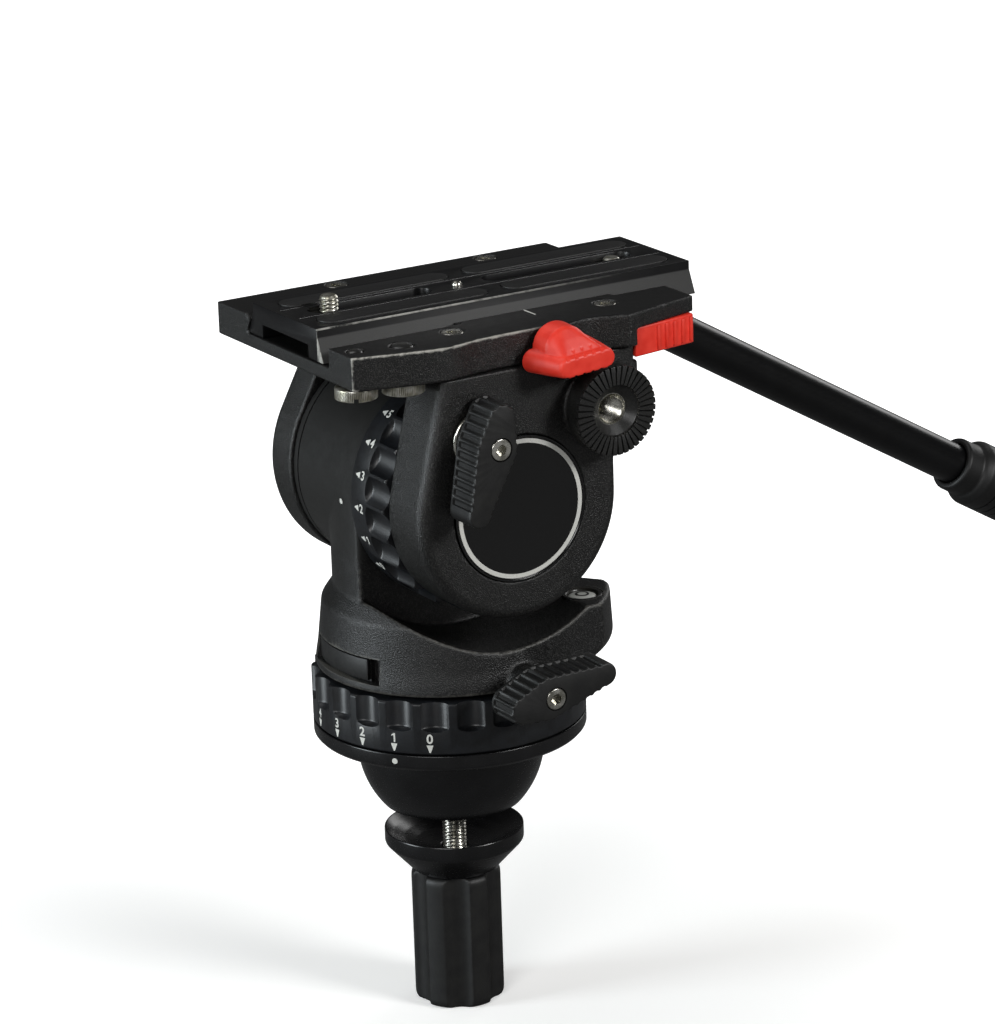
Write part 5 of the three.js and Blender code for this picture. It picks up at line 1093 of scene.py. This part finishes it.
def dress_carrier():
    body = slab(carrier_line(), CARRIER_LOW, CARRIER_TOP)
    skirt = slab([(56.5, -52.4), (56.5, -41.8), (84, -37.2), (84, -47.8)], TILT_AXIS + 50.8, CARRIER_LOW + 2)
    channel = [(-34.3, 72), (-34.3, 61.7), (29.8, 61.7), (29.8, 62.0), (27.26, 67.7), (30.46, 69.4),
               (30.46, 72)]
    under, over = CARRIER_LOW - 2, CARRIER_TOP + 2
    bores = []
    for x in CARRIER_SCREWS_X:
        for y in (CARRIER_SCREWS_NEAR, CARRIER_SCREWS_FAR):
            bores.append(small_rod(SCREW_BORE, under, CARRIER_TOP, "Z", (x, y, 0)))
            bores.append(small_rod(4.7, CARRIER_TOP - 5.6, over, "Z", (x, y, 0)))
    bores += [small_rod(4.8, under, over, "Z", LARGE_SPARE), small_rod(3.4, under, over, "Z", SMALL_SPARE)]
    cut(joined(body, skirt), slab([(y, z + TILT_AXIS) for y, z in channel], -70, 88, "X"))
    joined(body, block((-8.3, 60.3), (-38, -31.5), (CARRIER_TOP - 1.2, CARRIER_TOP)))
    cut(
        body,
        small_rod(4.5, -64, -34, "Y", LOCK_AXIS),
        small_rod(PIN_BORE, LATCH_LOW, 176.8, "Z", LATCH_PIN),
        *moving_room(0),
        *bores,
    )
    cut(cast(body, 0.6, 3, 0.3), *moving_room(0.1))
    stands_for(body, "carrier", "tilt_unit", CARRIER_PAINT, 50)
    mark = block((20.1, 20.7), (-40.9, -32.4), (CARRIER_TOP - 0.1, CARRIER_TOP + 0.1))
    piece(mark, "index_mark", "tilt_unit", WHITE_PRINT)
    spots = [(x, y, 0) for y in (CARRIER_SCREWS_NEAR, CARRIER_SCREWS_FAR) for x in CARRIER_SCREWS_X]
    for i, spot in enumerate(spots):
        head = cap_head(CARRIER_TOP - 5.3, 5, "Z", spot)
        shank = small_rod(2.5, CHEEK_TOP - 10, CARRIER_TOP - 5, "Z", spot)
        stands_for(merged([head, shank]), f"carrier_screw_{i + 1}", "tilt_unit", STAINLESS)


def dress_spares():
    top = CARRIER_LOW - SEAT
    low = top - 4.5
    for size, spot, radius, turn in (("large", LARGE_SPARE, 4.5, 140), ("small", SMALL_SPARE, 3.1, 60)):
        node, body = f"spare_screw_{size}", f"{size}_spare"
        groove = grid([[(8.5, -0.26, z), (8.5, 0.26, z), (7.8, 0, z)] for z in (low + 0.5, top - 0.5)])
        coin_slot = rotated(block((-10, 10), (-0.9, 0.9), (low - 2, low + 1.6)), turn, "Z")
        head = cut(rod(8.2, low, top, steps=BIG_TURN, ease=0.5), copies_round(groove, 72), coin_slot)
        shank = thread(radius, top - 0.5, CARRIER_TOP - 3, 1.3, 0.6, 32)
        whole = shifted(merged([head, shank]), *spot)
        stands_for(whole, node, body, NICKEL, 30)
        tip = turned([(0, CARRIER_TOP - 4), (radius, CARRIER_TOP - 4), (radius, CARRIER_TOP - 0.3),
                      (radius * 0.6, CARRIER_TOP + 0.35), (0, CARRIER_TOP + 0.5)], "Z", spot, SMALL_TURN, 0.9)
        piece(tip, node + "_tip", body, BLACK_OXIDE)


# Plate lock and latch
def lofted(layers):
    """A skin over layers from back to front, each of two half rounds joined by slightly sloping straights."""
    slope = math.radians(5)
    along, down = math.cos(slope), math.sin(slope)
    rings = []
    for y, cx, cz, half, tall in layers:
        line = arc(half - tall, 0, tall, -90, 90, 18) + arc(tall - half, 0, tall, 90, 270, 18)
        rings.append([(cx + u * along - v * down, y, cz + u * down + v * along) for u, v in line])
    return grid(rings)


def dress_lock():
    bar = slab([(-34, 172.8), (-29.5, 172.8), (-26.9, 178.6), (-34, 178.6)], -8, 60, "X")
    stands_for(eased(bar, 0.3), "clamp_bar", "clamp_jaw", ANODISED)
    grip = lofted([(-60.9, 17.0, 169.9, 15.2, 4.3), (-61.5, 17.1, 169.9, 15.8, 4.8),
                   (-70, 19.2, 169.3, 14.0, 4.5), (-76.4, 20.9, 168.7, 12.4, 4.0),
                   (-77.1, 21.1, 168.6, 11.9, 3.6), (-77.4, 21.2, 168.6, 11.2, 3.0)])
    hub = lofted([(-59.8, 16.5, 173, 9.3, 9.2), (-60.4, 16.5, 173, 9.7, 9.6),
                  (-68.4, 16.7, 172.9, 9.4, 9.3), (-69.6, 17.0, 172.6, 9.2, 8.8),
                  (-72.2, 18.4, 171.4, 9.4, 6.6), (-74.4, 19.8, 170.2, 10.0, 4.6),
                  (-75.8, 20.6, 169.2, 10.4, 3.4)])
    pitch = (3.8, 0, 0.33)
    rib_gap = rotated(rod(0.85, -2.4, 2.4, "Y", steps=24), 45, "X")
    top_row = copies_along(rib_gap, 6, (12.2, -76.5, 172.65), pitch)
    low_row = copies_along(rod(0.95, -82, -62, "Y", steps=24), 6, (11.8, 0, 163.6), pitch)
    lever = cut(joined(grip, hub), top_row, low_row)
    joined(lever, small_rod(4.2, -60.5, -36.9, "Y", LOCK_AXIS))
    stands_for(cast(lever, 0.32, 2, 0.5), "plate_lock_lever", "plate_lock", RED_PLASTIC, 50)


def dress_latch():
    outline = [(53.4, -60), (83.4, -55.4), (83.4, -47.8), (53.4, -52.4)]
    latch = eased(slab(outline, LATCH_LOW, LATCH_HIGH), 0.7, 3)
    slope = math.atan2(4.6, 30)
    rib = eased(block((-0.8, 0.8), (-0.75, 1.0), (LATCH_LOW + 1, LATCH_HIGH - 1)), 0.4)
    rotated(rib, math.degrees(slope), "Z")
    step = (-4.2 * math.cos(slope), -4.2 * math.sin(slope), 0)
    joined(latch, copies_along(rib, 5, (81.8, -55.65, 0), step))
    cut(latch, small_rod(PIN_BORE, 159, 176, "Z", LATCH_PIN))
    stands_for(eased(latch, 0.12, 1), "release_latch", "latch", RED_PLASTIC, 40)


# Camera plate
def dress_plate():
    profile = [(-18, 62.0), (-18, 67.2), (18, 67.2), (18, 62.0), (29.2, 62.0), (25.1, 71.2), (25.1, 74.6),
               (-25.1, 74.6), (-25.1, 71.2), (-29.2, 62.0)]
    body = slab([(y, z + TILT_AXIS) for y, z in profile], PLATE_FRONT, PLATE_BACK, "X")
    top, over, pin_spot = PLATE_TOP, PLATE_TOP + 2, (10, 0, 0)
    cuts = [slab(pill(*ends, 0, 5), top - 10, over) for ends in ((-56, -2), (22, 90))]
    cuts += [slab(pill(*ends, side, 5.9), top - 1.8, over)
             for ends in ((-60.3, 14.3), (21.7, 97.3)) for side in (-15, 15)]
    cuts.append(small_rod(2.4, top - 5.3, over, "Z", pin_spot))
    cuts += [block((-64, 99.5), (side - 0.35, side + 0.35), (top - 0.5, top + 1)) for side in (-7.4, 7.4)]
    eased(cut(body, *cuts), 0.35, 2, 40)
    stands_for(body, "camera_plate", "plate", PLATE_COAT, 30)
    for end, ends in (("front", (-60, 14)), ("rear", (22, 97))):
        for flank, side in (("near", -15), ("far", 15)):
            pad = slab(pill(*ends, side, 5.6), top - 1.5, top + 0.4)
            stands_for(eased(pad, 0.25), f"pad_{end}_{flank}", "plate", SOFT_RUBBER)
    pin = turned([(0, top - 5), (2.1, top - 5), (2.1, top + 0.2), (1.5, top + 1.3), (0, top + 1.5)], "Z",
                 pin_spot, SMALL_TURN, 0.6)
    stands_for(pin, "locating_pin", "plate", STAINLESS)
    seat = TILT_AXIS + 65.1  # where the camera screws' heads end under the sliders
    for end, x, proud in (("front", -47, 5.2), ("rear", 81.5, -0.4)):
        slider = block((x - 11, x + 11), (-17.7, 17.7), (seat + 0.3, seat + 1.8))
        cut(slider, small_rod(4.8, seat - 2, seat + 4, "Z", (x, 0, 0)))
        stands_for(eased(slider, 0.2), f"screw_slider_{end}", f"{end}_slider", ANODISED)
        head = rod(8.2, seat - 2.8, seat, steps=SMALL_TURN, ease=0.4)
        cut(head, block((-10, 10), (-0.6, 0.6), (seat - 5, seat - 1.4)))
        shank = thread(3.75, seat - 0.5, top + proud, 1.5, 0.6, 48, 1.2)
        whole = shifted(merged([head, shank]), x, 0, 0)
        stands_for(whole, f"camera_screw_{end}", f"{end}_screw", NICKEL, 40)


# Far side: counterbalance knob and pan bar
def dress_far_side():
    knob = fluted(31, 0, 12.4, 10, 9, 2.5, "Y", (0, FAR_OUTER + SEAT, TILT_AXIS), 0.6)
    stands_for(knob, "counterbalance_knob", "balance_knob", LEVER_PLASTIC, 50)
    back, front = BAR_MIDDLE - 10, BAR_MIDDLE + 10
    eye = rod(ROSETTE_RADIUS, back, front, "Y", ROSETTE_AXIS, ease=1.2)
    wide, reach = 12, 23
    lean = math.degrees(math.acos((ROSETTE_RADIUS - wide) / reach))
    web = arc(0, 0, ROSETTE_RADIUS - 0.2, lean, 360 - lean, 48) + arc(reach, 0, wide - 0.2, -lean, lean, 30)
    sleeve = rod(wide, 17.9, 46, "X", BAR_AXIS, ease=1)
    socket = joined(eye, slab(web, back + 0.2, front - 0.2, "Y", ROSETTE_AXIS), sleeve)
    cut(socket, rod(9.3, 20.7, 48, "X", BAR_AXIS), small_rod(5, back - 2, front + 2, "Y", ROSETTE_AXIS))
    stands_for(cast(socket, 0.5, 4, 0.4), "bar_socket", "pan_bar", CRINKLE, 50)
    bar_knob = fluted(16, front + SEAT, front + SEAT + 18, 6, 7, 3, "Y", ROSETTE_AXIS, 0.4)
    joined(bar_knob, small_rod(4.7, 60, front + 2, "Y", ROSETTE_AXIS))
    stands_for(bar_knob, "bar_knob", "bar_clamp", LEVER_PLASTIC, 40)


def down_the_bar(distance):
    """A point on the bar's sloping part, counted from its bend."""
    drop = math.radians(BAR_SLOPE)
    return (ROSETTE_X + 88.8 + distance * math.cos(drop), BAR_MIDDLE, ROSETTE_Z - distance * math.sin(drop))


def dress_bar():
    route = shell([(ROSETTE_X + 21, BAR_MIDDLE, ROSETTE_Z), down_the_bar(0), down_the_bar(324.3)], [])
    route.data.edges.add(2)
    route.data.edges[0].vertices = (0, 1)
    route.data.edges[1].vertices = (1, 2)
    tube = grown(SWEEP_PLAN, Route=route, Radius=9 * MM, Bend=55 * MM)
    stands_for(tube, "bar_tube", "pan_bar", TUBE_COAT, 50)
    grip = turned([(9.3, 0), (11.2, 0), (12.2, 1), (12.2, 9), (13.4, 10.2), (15, 13), (15, 109), (13, 113),
                   (9.3, 113)], "X", ease=0.9)
    cut(grip, copies_along(hoop(14.6, 16, -0.5, 0.5, "X"), 20, (20, 0, 0), (4.4, 0, 0)))
    cap = turned([(0, 105), (9, 105), (9, 113.3), (13, 113.3), (13, 115), (11, 117), (0, 117)], "X", ease=0.6)
    for obj, node, material, slot in ((grip, "bar_grip", SOFT_RUBBER, "black_rubber"),
                                      (cap, "bar_cap", LEVER_PLASTIC, "black_plastic")):
        shifted(rotated(obj, BAR_SLOPE, "Y"), *down_the_bar(219.6))
        stands_for(obj, node, "pan_bar", material, 40)


# CAD nodes that stay: the inner pieces
def dress_inner_pieces():
    for name in ("pan_spindle", "pan_bearing_lower", "pan_bearing_upper", "balance_spring",
                 "tilt_bearing_near", "tilt_bearing_far", "tilt_axle", "latch_pin"):
        set_material(frame["nodes"][name], STAINLESS)
    for name in ("pan_damper", "tilt_damper"):
        set_material(frame["nodes"][name], ANODISED)


# Camera, light and floor
def set_camera():
    data = bpy.data.cameras.new("camera")
    data.sensor_fit = "AUTO"
    data.sensor_width = 36
    data.lens = 160.46
    data.clip_end = 20
    camera = linked("camera", data)
    right = Vector((0.85314, -0.52076, -0.03120))
    up = Vector((0.18152, 0.24023, 0.95361))
    back = Vector((-0.48909, -0.81922, 0.29947))
    turn = Matrix((right, up, back)).transposed().to_4x4()
    camera.matrix_world = Matrix.Translation(Vector((-860.75, -1483.77, 632.06)) * MM) @ turn
    bpy.context.scene.camera = camera


def softbox(name, at, size, power, colour="#FFFFFF"):
    """A rectangular light, in metres and watts, that looks at the head."""
    data = bpy.data.lights.new(name, "AREA")
    data.shape = "RECTANGLE"
    data.size, data.size_y = size
    data.energy = power
    data.color = linear(colour)[:3]
    lamp = linked(name, data)
    lamp.location = at
    lamp.rotation_euler = (Vector((0, 0, 0.1)) - Vector(at)).to_track_quat("-Z", "Y").to_euler()


def set_light():
    softbox("softbox_left", (-1.85, 0.5, 0.42), (0.7, 1.1), 34, "#E4ECF0")
    softbox("softbox_front", (-1.5, -1.3, 1.1), (0.9, 0.9), 19)
    softbox("softbox_right", (1.02, -1.92, 1.2), (0.7, 0.6), 34)
    softbox("softbox_top", (-0.3, 0.9, 2.0), (1.5, 1.0), 8)
    softbox("softbox_rear", (2.0, 0.9, 0.9), (0.7, 1.1), 8)


def background_share(tree):
    """The share of the white background that a ray meets: all straight or through the vial, a trace mirrored."""
    rays = add(tree, "ShaderNodeLightPath").outputs
    straight = either(tree, rays["Is Camera Ray"], rays["Is Transmission Ray"])
    glossy = rays["Is Glossy Ray"]
    trace = add(tree, "ShaderNodeMath", {1: REFLECTED_SHARE}, {0: glossy}, operation="MULTIPLY").outputs[0]
    return either(tree, straight, trace)


def set_floor():
    """White paper that fades into the white background a little way off; what mirrors it sees grey paper."""
    low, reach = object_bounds()[0][2], 6.0
    corners = [(x * reach, y * reach, low) for x, y in ((-1, -1), (1, -1), (1, 1), (-1, 1))]
    mesh = bpy.data.meshes.new("floor")
    mesh.from_pydata(corners, [], [(0, 1, 2, 3)])
    floor = linked("floor", mesh)
    made, tree, surface, where = finish("pale_paper", "#F4F4F2", 0.9)
    floor.data.materials.append(made)
    rough_by(tree, surface, grain(tree, where, 3.0), 0.85, 0.95)
    share = background_share(tree)
    distance = add(tree, "ShaderNodeVectorMath", links={0: where}, operation="LENGTH").outputs["Value"]
    fade = add(tree, "ShaderNodeMapRange", {"From Min": 0.12, "From Max": 0.5, "To Min": 0.3, "To Max": 1.0},
               {"Value": distance}, interpolation_type="SMOOTHSTEP").outputs[0]
    tree.links.new(within(tree, fade, share), surface.inputs["Emission Strength"])
    surface.inputs["Emission Color"].default_value = linear("#FFFFFF")
    paper = add(tree, "ShaderNodeMix", links={"Factor": share}, data_type="RGBA")
    paper.inputs[6].default_value = linear("#5C5C5C")
    paper.inputs[7].default_value = linear("#F4F4F2")
    tree.links.new(paper.outputs[2], surface.inputs["Base Color"])


def set_background():
    """A white background that hardly reaches the reflections."""
    world = bpy.data.worlds.new("studio")
    bpy.context.scene.world = world
    world.use_nodes = True
    tree = world.node_tree
    share = background_share(tree)
    level = add(tree, "ShaderNodeMapRange", {"To Min": 0.02, "To Max": 1.0}, {"Value": share})
    tree.links.new(level.outputs[0], tree.nodes["Background"].inputs["Strength"])
    tree.nodes["Background"].inputs["Color"].default_value = linear("#FFFFFF")
    bpy.context.scene.view_settings.view_transform = "Standard"


set_camera()
dress_clamp()
dress_base()
dress_pan_ring()
dress_tilt_ring()
dress_housing()
dress_bubble()
dress_lever("pan_brake", PAN_BRAKE, 10, 182, (-2.4, 0.6))
dress_lever("tilt_brake", TILT_BRAKE, -109, 187, (-1.6, 0))
dress_cheeks()
dress_badge()
dress_collar()
dress_rosettes()
dress_carrier()
dress_spares()
dress_lock()
dress_latch()
dress_plate()
dress_far_side()
dress_bar()
dress_inner_pieces()
set_light()
set_floor()
set_background()
